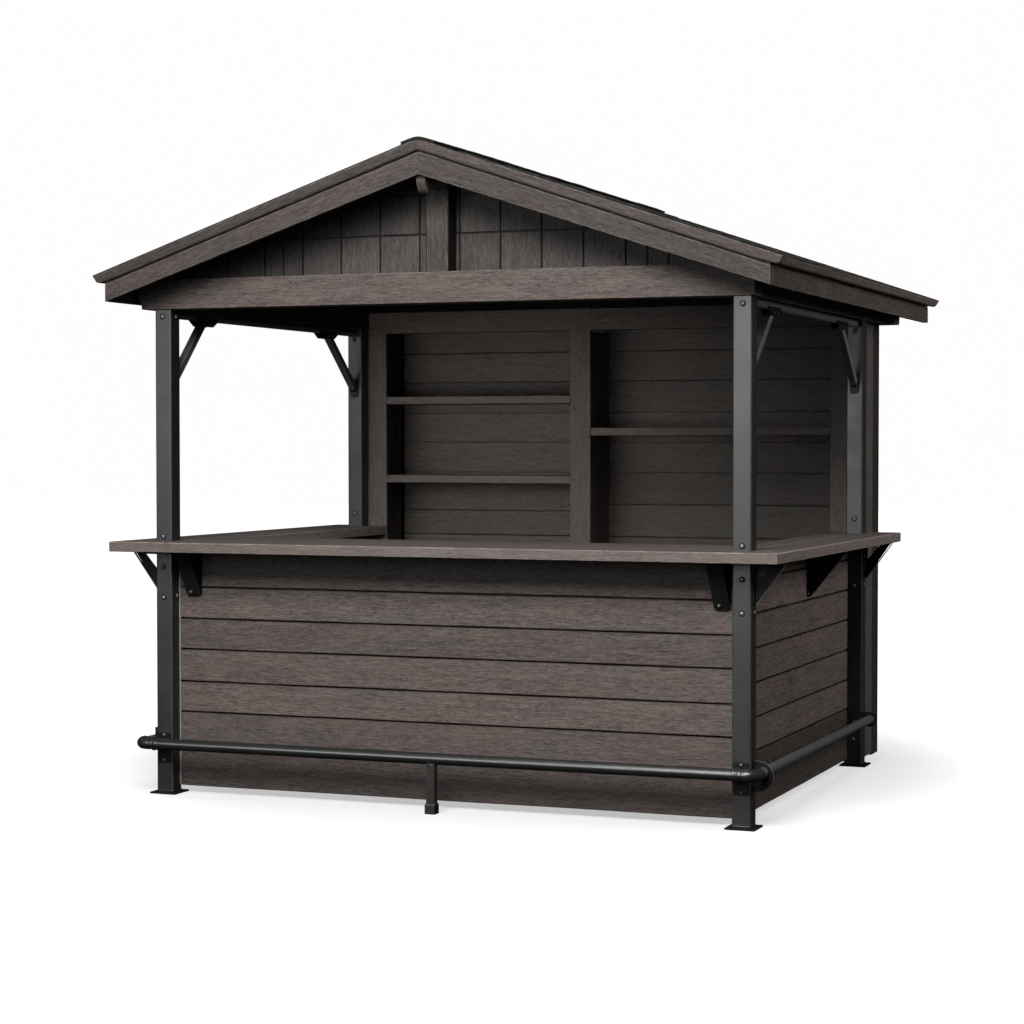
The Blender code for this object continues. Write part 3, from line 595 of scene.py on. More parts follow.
for side, s in SIDES:
    front_bolts = [((s * 1.2585, 0.0, z), -Y) for z in (2.008, 1.085, 0.958, 0.828)]
    front_bolts += [((s * POST_X, 0.038, z), s * X) for z in (0.960, 0.831)]
    front_bolts += [((s * (POST_X - POST), 0.040, z), -s * X) for z in (2.008, 0.834)]
    post("front", s, 0.0, front_bolts)
    rear_bolts = [((s * 1.2585, POST_Y2, z), -Y) for z in (1.990, 1.132, 0.828, 0.125)]
    rear_bolts += [((s * POST_X, POST_Y2 + 0.038, z), s * X) for z in (0.960, 0.831)]
    post("rear", s, POST_Y2, rear_bolts)

# ------------------------------------------------------------- counter

def mitre_x(y):
    return TOP_X - (y + 0.147) * (TOP_X - 1.125) / 0.617


def mitre_y(x):
    return -0.147 + (TOP_X - x) * 0.617 / (TOP_X - 1.125)


b = Build("front_counter_boards", ["front_counter"], "counter_board", M_COUNTER, 101)
joint = 0.0002
cuts = [-0.147, 0.038, 0.182, 0.326, 0.470]
hole = (POST_X - POST - GAP, POST_X + GAP)
for i in range(4):
    ya, yb = cuts[i] + (joint if i else 0.0), cuts[i + 1] - (joint if i < 3 else 0.0)
    if i == 0:
        right = [(mitre_x(ya), ya), (mitre_x(yb), yb), (hole[1], yb), (hole[1], -GAP), (hole[0], -GAP), (hole[0], yb)]
    elif i == 1:
        e = POST + GAP
        right = [(hole[0], ya), (hole[0], e), (hole[1], e), (hole[1], ya), (mitre_x(ya), ya), (mitre_x(yb), yb)]
    else:
        right = [(mitre_x(ya), ya), (mitre_x(yb), yb)]
    left = [(-p, q) for p, q in reversed(right)]
    # tops marked for painted shade, darker than the edges
    b.prism(right + left, "Z", UNDER, TOP_Z, (X, Y, Z), r=0.0042 if i in (0,) else 0.0007, seg=3 if i == 0 else 1,
            dull_top=True)
b.make()

for side, s in SIDES:
    b = Build(side + "_counter_boards", [side + "_counter"], "counter_board", M_COUNTER, 111 + int(s))
    m = 0.0008
    seam = 1.257
    outer = [(seam + joint, mitre_y(seam) + m), (TOP_X, -0.147 + m), (TOP_X, 2.046), (seam + joint, 2.046),
             (seam + joint, 1.9493), (hole[1], 1.9493), (hole[1], 1.8727), (seam + joint, 1.8727)]
    inner = [(1.125, 0.470 + m), (seam - joint, mitre_y(seam) + m), (seam - joint, 1.8727), (hole[0], 1.8727),
             (hole[0], UNIT_Y0 - GAP), (1.125, UNIT_Y0 - GAP)]
    for outline, r, seg in ((outer, 0.0042, 3), (inner, 0.0024, 2)):
        # tops marked for painted shade, darker than the edges
        b.prism(mirror(outline, s), "Z", UNDER, TOP_Z, (Y, X, Z), r=r, seg=seg, dull_top=True)
    b.make()

# ------------------------------------------------------------- panels

def planks(b, levels, z_low, z_top, p_of, wide, thick, gap=0.0060, r=0.0040, wob=0.0009, mat=None, calm=1.0, shaded_bottom_tone=None, base=0.0,
           rim=-0.8):
    """Boards one above the other; p_of(z) gives the ends of a board's centre line. Their arrises are stained dark."""
    zs = [z_low] + sorted(levels) + [z_top]
    for i in range(len(zs) - 1):
        za = zs[i] + (gap / 2 if i else 0.0)
        zb = zs[i + 1] - (gap / 2 if i < len(zs) - 2 else 0.0)
        p0, p1 = p_of((za + zb) / 2.0)
        steps = max(2, int(math.dist(p0, p1) / 0.07))
        tone = float(np.clip(b.rng.normal(0.0, 0.5 * calm), -1.0, 1.0))
        # the lowest board can be toned darker: painted shade under the foot rail
        if i == 0 and shaded_bottom_tone is not None:
            tone = shaded_bottom_tone
        tone += base
        b.bar(p0, p1, wide, zb - za, thick, r=r, seg=2, steps=steps, wob=wob, mat=mat, tone=tone, rim=rim)


b = Build("front_panel_boards", ["front_panel"], "stained_board", M_BOARD, 121)
FRONT_LEVELS = [0.871, 0.7375, 0.6075, 0.471, 0.3425, 0.210]
# lowest board toned darker: painted shade
planks(b, FRONT_LEVELS, 0.030, UNDER - GAP,
       lambda z: ((-1.2187, 0.0772, z), (1.2187, 0.0772, z)), Z, 0.0216, shaded_bottom_tone=-2.2)
# backing boards in the near-black stain: painted shade seen through the joints
planks(b, [0.82, 0.62, 0.42, 0.22], 0.034, UNDER - 0.004,
       lambda z: ((-1.2180, 0.0974, z), (1.2180, 0.0974, z)), Z, 0.0170, gap=0.001, r=0.0012, mat=M_SHADE_BOARD, base=-1.5)
for s in (-1.0, 1.0):
    b.bar((s * 1.2166, 0.0642, 0.032), (s * 1.2166, 0.0642, UNDER - 0.004), X, 0.0040, 0.0100, r=0.0008, seg=1,
          mat=M_TRIM, tone=0.0)
b.make()

SIDE_LEVELS = [0.944, 0.807, 0.670, 0.533, 0.396, 0.263]
for side, s in SIDES:
    b = Build(side + "_panel_boards", [side + "_panel"], "stained_board", M_BOARD, 131 + int(s))
    # lowest board toned darker: painted shade
    planks(b, SIDE_LEVELS, 0.030, UNDER - GAP,
           lambda z: ((s * 1.2242, 0.0778, z), (s * 1.2242, 1.8712, z)), Z, 0.0108, shaded_bottom_tone=-3.6)
    # backing boards in the near-black stain: painted shade seen through the joints
    planks(b, [0.82, 0.62, 0.42, 0.22], 0.034, UNDER - 0.004,
           lambda z: ((s * 1.2042, 0.1072, z), (s * 1.2042, 1.9538, z)), Z, 0.0284, gap=0.001, r=0.0012, mat=M_SHADE_BOARD)
    for y in (0.0782, 1.8708):
        b.bar((s * 1.2308, y, 0.032), (s * 1.2308, y, UNDER - 0.004), Y, 0.0028, 0.0100, r=0.0008, seg=1,
              mat=M_DULL, tone=0.0)
    b.make()

# ------------------------------------------------------------- shelf unit

BACK_LEVELS = [0.097, 0.250, 0.403, 0.556, 0.709, 0.862, 1.015, 1.176, 1.332, 1.483, 1.630, 1.785, 1.932]
b = Build("back_wall_boards", ["back_wall"], "stained_board", M_UNIT, 141)
left_levels = [1.139 if v == 1.176 else v for v in BACK_LEVELS]
for levels, xa, xb in ((left_levels, -1.1945, -0.1014), (BACK_LEVELS, -0.1006, 1.1945)):
    planks(b, levels, 0.008, POST_TOP, lambda z: ((xa, 2.3410, z), (xb, 2.3410, z)), Z, 0.0218, gap=0.0042, r=0.0022,
           base=-0.4, rim=-0.4)
planks(b, [v + 0.006 for v in BACK_LEVELS], 0.008, POST_TOP,
       lambda z: ((-1.1945, 2.3640, z), (1.1945, 2.3640, z)), Z, 0.0218, gap=0.0030, r=0.0024)
b.make()

for side, s in SIDES:
    b = Build(side + "_unit_side_boards", [side + "_unit_side"], "stained_board", M_UNIT, 151 + int(s))
    x = s * (STILE_XI + UNIT_X - 0.0004) / 2.0
    b.bar((x, UNIT_Y0 + 0.010, 0.008), (x, UNIT_Y0 + 0.010, POST_TOP), X, UNIT_X - STILE_XI - 0.0004, 0.0199,
          r=0.0030, seg=2, steps=20, wob=0.0006, tone=0.25)
    # the outer side boards are toned darker: painted shade
    for ya, yb, t in ((1.9752, 2.1752, -2.6), (2.1756, SIDE_YE, -2.2)):
        b.bar((s * 1.2402, (ya + yb) / 2, 0.008), (s * 1.2402, (ya + yb) / 2, POST_TOP), Y, yb - ya, 0.0192,
              r=0.0044, seg=3, steps=20, wob=0.0006, tone=t)
    b.make()
    c = Build("rear_" + side + "_corner_post_sheet", ["rear_" + side + "_corner_post"], "black_steel", M_SHEET,
              161 + int(s))
    # folded channel: two flanges and the face between them, open towards the inside
    xo, xi, ya, yb, t = UNIT_X, UNIT_X - 0.055, SIDE_YE + GAP, REAR_Y, 0.004
    outline = [(xo, ya), (xo, yb), (xi, yb), (xi, yb - t), (xo - t, yb - t), (xo - t, ya + t), (xi, ya + t), (xi, ya)]
    c.prism(mirror(outline, s), "Z", 0.0, POST_TOP, (Z, X, Y), r=0.0014, seg=2, tone=-0.3)
    c.bar((s * (xi + xo - t - 0.004) / 2, (ya + yb) / 2, 0.001), (s * (xi + xo - t - 0.004) / 2, (ya + yb) / 2, POST_TOP - 0.001),
          X, xo - xi - t - 0.004, yb - ya - 2 * t - 0.002, r=0.002, mat=M_BLACK, tone=-0.8)
    c.bar((s * (UNIT_X - 0.003), REAR_Y - 0.016, 0.004), (s * (UNIT_X - 0.003), REAR_Y - 0.016, POST_TOP - 0.002), Y, 0.030, 0.0062,
          r=0.0016, mat=M_DULL, tone=0.3)
    c.make()

mid = -0.101
stile_off = np.array((3.3, -7.1, 1.9))
b = Build("middle_divider_boards", ["middle_divider"], "stained_board", M_UNIT, 171)
b.bar((mid, UNIT_Y0 + 0.010, 0.008), (mid, UNIT_Y0 + 0.010, 2.0202), X, 0.102, 0.0199, r=0.0030, seg=2, steps=1,
      ends=(True, False), tone=0.1, off=stile_off)
b.bar((mid, 2.1522, 0.008), (mid, 2.1522, 2.0196), Y, 0.354, 0.0376, r=0.0024, seg=2, steps=1, tone=-0.3)
b.make()

b = Build("top_rail_boards", ["top_rail"], "stained_board", M_UNIT, 175)
# the middle stile runs on up through the rail
b.bar((mid, UNIT_Y0 + 0.010, 2.0204), (mid, UNIT_Y0 + 0.010, 2.1240), X, 0.102, 0.0199, r=0.0030, seg=2, steps=1,
      ends=(False, True), tone=0.1, off=stile_off)
# dark strip above the rail: a painted shadow
b.bar((-1.2184, UNIT_Y0 + 0.0112, 2.1470), (1.2184, UNIT_Y0 + 0.0112, 2.1470), Z, 0.0450, 0.0174, r=0.0014, seg=1,
      steps=2, mat=M_BLACK, tone=-2.0)
for xa, xb, s in ((-1.1235, -0.1525, -1.0), (-0.0495, 1.1235, 1.0)):
    b.bar((xa, UNIT_Y0 + 0.0104, 2.0722), (xb, UNIT_Y0 + 0.0104, 2.0722), Z, 0.1028, 0.0190, r=0.0028, seg=2,
          steps=16, wob=0.0005, tone=-0.2)
    # its end laps over the outer stile
    b.bar((s * 1.1238, UNIT_Y0 + 0.0104, 2.0813), (s * 1.2185, UNIT_Y0 + 0.0104, 2.0813), Z, 0.0846, 0.0190,
          r=0.0024, seg=2, tone=-0.35)
b.make()


def shelf(name, node_name, sign, z1, seed):
    b = Build(name, [node_name], "stained_board", M_UNIT, seed)
    x_mid = mid + sign * 0.0193
    x_out = sign * (UNIT_X - 0.0203)
    n_mid = -0.1526 if sign < 0 else -0.0494
    n_out = sign * (STILE_XI - 0.0006)
    gap = 0.0030
    # nosing between the stiles, a hair short of the middle one
    inner_end = n_mid - gap * 0.6 if sign < 0 else n_mid + gap * 0.6
    b.bar((inner_end, UNIT_Y0 + 0.0125, z1 - 0.0185), (n_out, UNIT_Y0 + 0.0125, z1 - 0.0185), Z, 0.037, 0.0190,
          r=0.0036, seg=3, steps=14, wob=0.0004, tone=0.9)
    joints = [1.9752, 2.093, 2.211, 2.3295]
    for ya, yb in zip(joints, joints[1:]):
        end = x_out if yb < 2.25 else sign * (UNIT_X - 0.0556)
        yc = (ya + yb) / 2
        b.bar((x_mid, yc, z1 - 0.0185), (end, yc, z1 - 0.0185), Y, yb - ya - 0.0006, 0.0362, r=0.0010, seg=1, steps=2)
    b.make()


shelf("left_upper_shelf_boards", "left_upper_shelf", -1.0, 1.708, 181)
shelf("left_lower_shelf_boards", "left_lower_shelf", -1.0, 1.320, 182)
shelf("right_shelf_boards", "right_shelf", 1.0, 1.552, 183)

# ------------------------------------------------------------- beams

def beam(name, node_name, y0, y1, seed, left, right):
    outline = [(-x, z) for x, z in left] + [(x, z) for x, z in reversed(right)]
    b = Build(name, [node_name], "stained_board", M_BOARD, seed)
    b.prism(outline, "Y", y0, y1, (X, Z, Y), r=0.0034, seg=3, tone=-0.9)
    b.make()


z0 = POST_TOP + GAP
x_top = (APEX_TOP - 0.0006 - BEAM_Z1) / SLOPE
plain_end = [(BEAM_X, z0), (BEAM_X + 0.012, roof(BEAM_X + 0.012, -0.0006)), (x_top, BEAM_Z1)]
left_end = [(1.352, z0), (1.354, z0 + 0.020), (1.361, z0 + 0.036), (1.374, z0 + 0.050), (1.374, roof(1.374, -0.0006)),
            (x_top, BEAM_Z1)]
right_end = [(1.307, z0), (1.309, BEAM_Z1)]
beam("front_tie_beam_timber", "front_tie_beam", BEAM_Y0, BEAM_Y1, 191, left_end, right_end)
beam("rear_tie_beam_timber", "rear_tie_beam", REAR_Y - (BEAM_Y1 - BEAM_Y0), REAR_Y, 192, plain_end, plain_end)
for side, s in SIDES:
    xa, xb = POST_X - POST, POST_X
    outline = [(xa, POST_TOP + GAP), (xb, POST_TOP + GAP), (xb, roof(xb, -0.0006)), (xa, roof(xa, -0.0006))]
    # side beams in the darker stain: painted shade under the eaves
    b = Build(side + "_side_beam_timber", [side + "_side_beam"], "stained_board", M_DARK, 193 + int(s))
    b.prism(mirror(outline, s), "Y", BEAM_Y1 + GAP, REAR_Y - (BEAM_Y1 - BEAM_Y0) - GAP, (Y, Z, X), r=0.0035, seg=2)
    b.make()

# ------------------------------------------------------------- gables

def gable(name, node_name, y_face, out, seed):
    """Square tiles on a boarded backing; out is the way the tiles face along Y."""
    b = Build(name, [node_name], "stained_board", M_GABLE, seed)
    z0 = BEAM_Z1 + 0.0005
    columns = [0.0635 + 0.1755 * k for k in range(-8, 9)]
    courses = [z0, 2.319, 2.476, 2.633]
    gap = 0.0066
    for row in range(3):
        xs = sorted(columns + ([-0.728, 0.854] if row == 0 else []))
        for xa, xb in zip(xs, xs[1:]):
            za, zb = courses[row] + (gap / 2 if row else 0.0), courses[row + 1] - gap / 2
            tile = [(xa + gap / 2, za), (xb - gap / 2, za), (xb - gap / 2, zb), (xa + gap / 2, zb)]
            for s in (-1.0, 1.0):
                tile = clip(tile, lambda p, s=s: APEX_TOP - 0.0012 - SLOPE * s * p[0] - p[1])
                if len(tile) < 3:
                    break
            if len(tile) < 3:
                continue
            px = [p[0] for p in tile]
            pz = [p[1] for p in tile]
            if max(px) - min(px) < 0.012 or max(pz) - min(pz) < 0.008:
                continue
            proud = b.rng.uniform(-0.0008, 0.0006)
            y_a = y_face - out * (0.0006 - proud) * 1.0
            y_b = y_face - out * 0.0092
            lo, hi = sorted((y_a, y_b))
            b.prism(tile, "Y", lo, hi, (Z, X, Y), r=0.0018, seg=2, rim=-1.0)
    # backing of upright boards, in the near-black stain: painted shade behind the tile joints
    lo, hi = sorted((y_face - out * 0.0098, y_face - out * 0.0218))
    edges = list(np.linspace(-1.34, 1.34, 17))
    for xa, xb in zip(edges, edges[1:]):
        strip = [(xa + 0.00004, z0), (xb - 0.00004, z0), (xb - 0.00004, 2.7), (xa + 0.00004, 2.7)]
        for s in (-1.0, 1.0):
            strip = clip(strip, lambda p, s=s: APEX_TOP - 0.0012 - SLOPE * s * p[0] - p[1])
        if len(strip) >= 3 and max(p[1] for p in strip) - z0 > 0.006:
            b.prism(strip, "Y", lo, hi, (Z, X, Y), r=0.0006, seg=1, mat=M_SHADE_BOARD)
    b.make()


gable("front_gable_tiles", "front_gable_wall", 0.072, -1.0, 201)
gable("rear_gable_tiles", "rear_gable_wall", REAR_Y - 0.084, 1.0, 202)

b = Build("front_king_post_timber", ["front_king_post"], "stained_board", M_BOARD, 205)
KING = 0.049
outline = [(-KING, BEAM_Z1 + 0.0004), (KING, BEAM_Z1 + 0.0004), (KING, roof(KING, -0.0006)), (0.0, roof(0.0, -0.0006)),
           (-KING, roof(KING, -0.0006))]
body = [(max(-KING + 0.0042, min(KING - 0.0042, p)), roof(KING - 0.0042, -0.0006) if 0.04 < abs(p) and q > 2.3 else q)
        for p, q in outline]
# body toned darker: painted shade under the overhang
b.prism(clip(body, lambda p: 2.4905 - p[1]), "Y", BEAM_Y0, 0.0712, (Z, X, Y), r=0.0030, seg=3, tone=-3.8)
# its top in the near-black stain: painted shadow under the barge boards
b.prism(clip(body, lambda p: p[1] - 2.4907), "Y", BEAM_Y0 + 0.0008, 0.0712, (Z, X, Y), r=0.0010, seg=1, mat=M_SHADE_BOARD)
# its sides in the near-black stain: painted shade
for s in (-1.0, 1.0):
    cheek = [(KING - 0.0041, BEAM_Z1 + 0.0004), (KING, BEAM_Z1 + 0.0004), (KING, roof(KING, -0.0006)),
             (KING - 0.0041, roof(KING - 0.0041, -0.0006))]
    b.prism(mirror(cheek, s), "Y", BEAM_Y0 + 0.0022, 0.0712, (Z, X, Y), r=0.0010, seg=1, mat=M_SHADE_BOARD)
# hooked corbel behind the peak of the barge boards, toned darker as painted shade
nose_y = BARGE_Y0 + BOARD_T + 0.0006
horn = [(0.0, 2.508), (0.006, 2.488), (0.018, 2.470), (0.031, 2.4615), (0.037, 2.466), (0.040, 2.482), (0.044, 2.505),
        (0.052, 2.530), (0.066, 2.548)]
corbel = [(nose_y, 2.590)] + [(nose_y + dy, z) for dy, z in horn] + [(BEAM_Y0 - 0.0004, 2.548), (BEAM_Y0 - 0.0004, 2.590)]
b.prism(corbel, "X", -0.0195, 0.0195, (Y, Z, X), r=0.0030, seg=3, angle=46.0, tone=-3.2)
b.make()

# ------------------------------------------------------------- barge boards and fascias

down = unit((math.cos(RISE), 0.0, -math.sin(RISE)))
for where, ya, yb, seed in (("front", BARGE_Y0, BARGE_Y0 + BOARD_T, 211), ("rear", BARGE_Y1 - BOARD_T, BARGE_Y1, 215)):
    for side, s in SIDES:
        b = Build("_".join((where, side, "barge_board_timber")), ["_".join((where, side, "barge_board"))],
                  "stained_board", M_BOARD, seed + int(s))
        outline = [(0.0001, APEX_LOW), (0.0001, APEX_TOP - 0.0058), (EAVE_X, EAVE_TOP - 0.0058), (EAVE_X, EAVE_LOW)]
        u = np.array((s * down[0], 0.0, down[2]))
        # the barge boards are toned darker, the right ones more than the left: painted shade
        b.prism(mirror(outline, s), "Y", ya, yb, (u, np.cross(u, Y), Y), r=0.0030, seg=2,
                tone=-3.3 if s < 0 else -3.9, square=lambda co: abs(co.x) < 0.001)
        # dark strip between the board and the moulding above it: painted shadow in the joint
        strip = [(0.0008, roof(0.0008, -0.0068)), (0.0008, roof(0.0008, -0.0006)), (EAVE_X - 0.0012, roof(EAVE_X - 0.0012, -0.0006)),
                 (EAVE_X - 0.0012, roof(EAVE_X - 0.0012, -0.0068))]
        lo, hi = (ya + 0.0060, yb - 0.0006) if where == "front" else (ya + 0.0006, yb - 0.0060)
        b.prism(mirror(strip, s), "Y", lo, hi, (u, np.cross(u, Y), Y), r=0.0, mat=M_SHADE_BOARD)
        face, way = (ya, -Y) if where == "front" else (yb, Y)
        for x, z in ((1.372, 2.103), (0.700, roof(0.7, -0.066))):
            b.turned((s * x, face, z), way, [(0.0034, -0.002), (0.0034, 0.0002), (0.0028, 0.0007), (0.0004, 0.0010)], 10, M_DULL)
        b.make()

for side, s in SIDES:
    b = Build(side + "_eave_fascia_timber", [side + "_eave_fascia"], "stained_board", M_BOARD, 221 + int(s))
    xa, xb = EAVE_X - BOARD_T, EAVE_X
    outline = [(xa, EAVE_LOW), (xb, EAVE_LOW), (xb, roof(xb, -0.0006)), (xa, roof(xa, -0.0006))]
    b.prism(mirror(outline, s), "Y", BARGE_Y0 + BOARD_T + GAP, BARGE_Y1 - BOARD_T - GAP, (Y, Z, X), r=0.0028, seg=2, tone=-2.9)
    b.make()

# ------------------------------------------------------------- roof deck and its mouldings

TRIM_UP = 0.0428        # upright height of the rake and eave mouldings


def crown(h):
    """How far the eave crown stands out past the fascia at a height h of its face, 0 to 1."""
    # fillet, hollow, round, lip: an ogee
    stops = [(0.0, 0.000), (0.03, 0.0060), (0.06, 0.0150), (0.10, 0.0235), (0.16, 0.0295), (0.24, 0.0335), (0.36, 0.0370),
             (0.50, 0.0400), (0.66, 0.0430), (0.82, 0.0465), (0.92, 0.0495), (1.0, 0.0500)]
    for (a, u), (b_, v) in zip(stops, stops[1:]):
        if h <= b_:
            return u + (v - u) * (h - a) / (b_ - a)
    return stops[-1][1]


HEIGHTS = [0.0, 0.03, 0.06, 0.10, 0.16, 0.24, 0.36, 0.50, 0.66, 0.82, 0.92, 1.0]


def rake_out(h):
    """How far the rake trim stands out past the barge board at that height."""
    return 0.0012 + 0.0088 * crown(h) / 0.050


def rake_trim(b, s, y_face, out, tone):
    """Moulding along the top of the barge board, rounded at the apex, its foot cut to the crown's outline."""
    xs = [0.0, 0.012, 0.026, 0.042, 0.062, 0.09, 0.13, 0.20, 0.35, 0.55, 0.80, 1.05, 1.25, 1.36]
    columns = []

    def top(x):
        # a soft crest in place of a point
        return APEX_TOP + TRIM_UP + 0.0006 - SLOPE * math.sqrt(x * x + 0.045 ** 2) + 0.0086 * math.exp(-(x / 0.075) ** 2)

    def low(x):
        return APEX_TOP - SLOPE * x + 0.0002

    for x in xs:
        col = []
        for h in HEIGHTS:
            z = low(x) + (top(x) - low(x)) * h
            col.append((x, y_face + out * rake_out(h), z))
        col.append((x, y_face - out * 0.020, top(x)))
        col.append((x, y_face - out * 0.020, low(x)))
        columns.append(col)
    col = []
    for h in HEIGHTS:
        x = EAVE_X + 0.0010 + crown(h) * 0.994
        z = low(x) + (top(x) - low(x)) * h + 0.0040 * (1 - h)
        col.append((x, y_face + out * rake_out(h), z))
    x = EAVE_X + 0.0010 + crown(1.0) * 0.994
    col.append((x, y_face - out * 0.020, top(x)))
    x = EAVE_X + 0.0010
    col.append((x, y_face - out * 0.020, low(x) + 0.004))
    columns.append(col)
    n = len(col)
    verts = [(s * x, y, z) for c in columns for x, y, z in c]
    faces, edge = [], []
    for i in range(len(columns) - 1):
        for k in range(n):
            j = (k + 1) % n
            faces.append((i * n + k, i * n + j, (i + 1) * n + j, (i + 1) * n + k))
            edge.append(1.0 if k in (len(HEIGHTS) - 2, len(HEIGHTS) - 1, 0) else 0.0)
    faces += [tuple(range(n))[::-1], tuple(range((len(columns) - 1) * n, len(columns) * n))]
    edge += [0.0, 0.0]
    u = np.array((s * down[0], 0.0, down[2]))
    b.add(verts, faces, edge, (u, np.cross(u, Y), Y), M_BOARD, tone)
    # dark drip edge on it
    y_out, y_in = y_face + out * (rake_out(1.0) - 0.0001), y_face - out * 0.0200
    verts = []
    for x in xs + [EAVE_X + 0.050]:
        for y, dz in ((y_out, 0.0002), (y_out, 0.0048), (y_in, 0.0048), (y_in, 0.0002)):
            verts.append((s * x, y, top(x) + dz))
    faces = []
    for i in range(len(xs)):
        for k in range(4):
            j = (k + 1) % 4
            faces.append((i * 4 + k, i * 4 + j, (i + 1) * 4 + j, (i + 1) * 4 + k))
    faces += [(3, 2, 1, 0), tuple(range(len(xs) * 4, len(xs) * 4 + 4))]
    b.add(verts, faces, [0.0] * len(faces), (u, np.cross(u, Y), Y), M_BLACK, 0.0)


for side, s in SIDES:
    b = Build(side + "_roof_boards", [side + "_roof_deck"], "stained_board", M_DARK, 231 + int(s))
    u = np.array((s * down[0], 0.0, down[2]))
    n_up = unit(np.cross(Y, u)) if s > 0 else unit(np.cross(u, Y))
    if n_up[2] < 0:
        n_up = -n_up
    # boards along the roof, seen from below, in the darker stain: painted shade under the roof
    span = (EAVE_X + 0.0016) / math.cos(RISE)
    edges = np.linspace(0.004, span, 12)
    for sa, sb in zip(edges, edges[1:]):
        mid_s = (sa + sb) / 2
        c = np.array((0.0, 0.0, APEX_TOP)) + u * mid_s + n_up * (0.0090 + 0.0006)
        b.bar(c + Y * (BARGE_Y0 + 0.004), c + Y * (BARGE_Y1 - 0.004), u, sb - sa - 0.0024, 0.0160, r=0.0018, seg=1,
              steps=2, tone=float(b.rng.normal(0, 0.4)))
    # sheathing above them, in the near-black stain: painted shade
    sheath = [(0.002, roof(0.002, 0.0195)), (EAVE_X + 0.004, roof(EAVE_X + 0.004, 0.0195)),
              (EAVE_X + 0.028, roof(EAVE_X + 0.028, 0.0320)),
              (EAVE_X + 0.047, roof(EAVE_X + 0.047, 0.0372)), (0.002, roof(0.002, 0.0372))]
    b.prism(mirror(sheath, s), "Y", BARGE_Y0 + 0.0235, BARGE_Y1 - 0.0235, (Y, X, Z), r=0.0, mat=M_SHADE_BOARD, tone=-0.8)
    b.make()
    # rake trims and eave crown
    t = Build(side + "_roof_mouldings", [side + "_roof_deck"], "stained_board", M_BOARD, 241 + int(s))
    # the front rake trims are toned darker, the left one more than the right: painted shade
    rake_trim(t, s, BARGE_Y0, -1.0, -3.0 if s > 0 else -4.0)
    rake_trim(t, s, BARGE_Y1, 1.0, -0.2)
    profile = []
    for h in HEIGHTS:
        x = EAVE_X + 0.0010 + crown(h) * 0.994
        profile.append((x, roof(x, TRIM_UP * h + 0.004 * (1 - h) - 0.0002)))
    profile += [(EAVE_X - 0.02, roof(EAVE_X - 0.02, TRIM_UP - 0.0012)), (EAVE_X - 0.02, roof(EAVE_X - 0.02, 0.0010))]
    drip = [(EAVE_X + 0.0498, roof(EAVE_X + 0.0498, TRIM_UP)), (EAVE_X + 0.0498, roof(EAVE_X + 0.0498, TRIM_UP + 0.0026)),
            (EAVE_X - 0.0220, roof(EAVE_X - 0.0220, TRIM_UP + 0.0012)), (EAVE_X - 0.0220, roof(EAVE_X - 0.0220, TRIM_UP - 0.0012))]
    t.prism(mirror(drip, s), "Y", BARGE_Y0 + 0.0210, BARGE_Y1 - 0.0210, (Y, X, Z), r=0.0, mat=M_BLACK)
    ys = [BARGE_Y0 + 0.0004] + list(np.linspace(0.0, 2.5, 11)) + [BARGE_Y1 - 0.0004]
    verts, faces, edge = [], [], []
    wave = t.rng.uniform(-0.0004, 0.0004, len(ys))
    for i, y in enumerate(ys):
        verts += [(s * x, y, z + (wave[i] if 0 < i < len(ys) - 1 else 0.0)) for x, z in profile]
    n = len(profile)
    for i in range(len(ys) - 1):
        for k in range(n):
            j = (k + 1) % n
            faces.append((i * n + k, i * n + j, (i + 1) * n + j, (i + 1) * n + k))
            edge.append(1.0 if k in (9, 10, 0) else 0.0)
    faces += [tuple(range(n))[::-1], tuple(range((len(ys) - 1) * n, len(ys) * n))]
    edge += [0.0, 0.0]
    # the crown is toned lighter: painted light on its face, which looks down
    t.add(verts, faces, edge, (Y, Z, X), M_BOARD, 1.2)
    # dark strip behind the crown's foot: painted shadow in the joint
    strip = [(EAVE_X - 0.020, roof(EAVE_X - 0.020, 0.0001)), (EAVE_X + 0.0008, roof(EAVE_X + 0.0008, 0.0001)),
             (EAVE_X + 0.0008, roof(EAVE_X + 0.0008, 0.0062)), (EAVE_X - 0.020, roof(EAVE_X - 0.020, 0.0008))]
    t.prism(mirror(strip, s), "Y", BARGE_Y0 + 0.0030, BARGE_Y1 - 0.0030, (Y, Z, X), r=0.0, mat=M_SHADE_BOARD)
    t.make()

# ------------------------------------------------------------- shingles

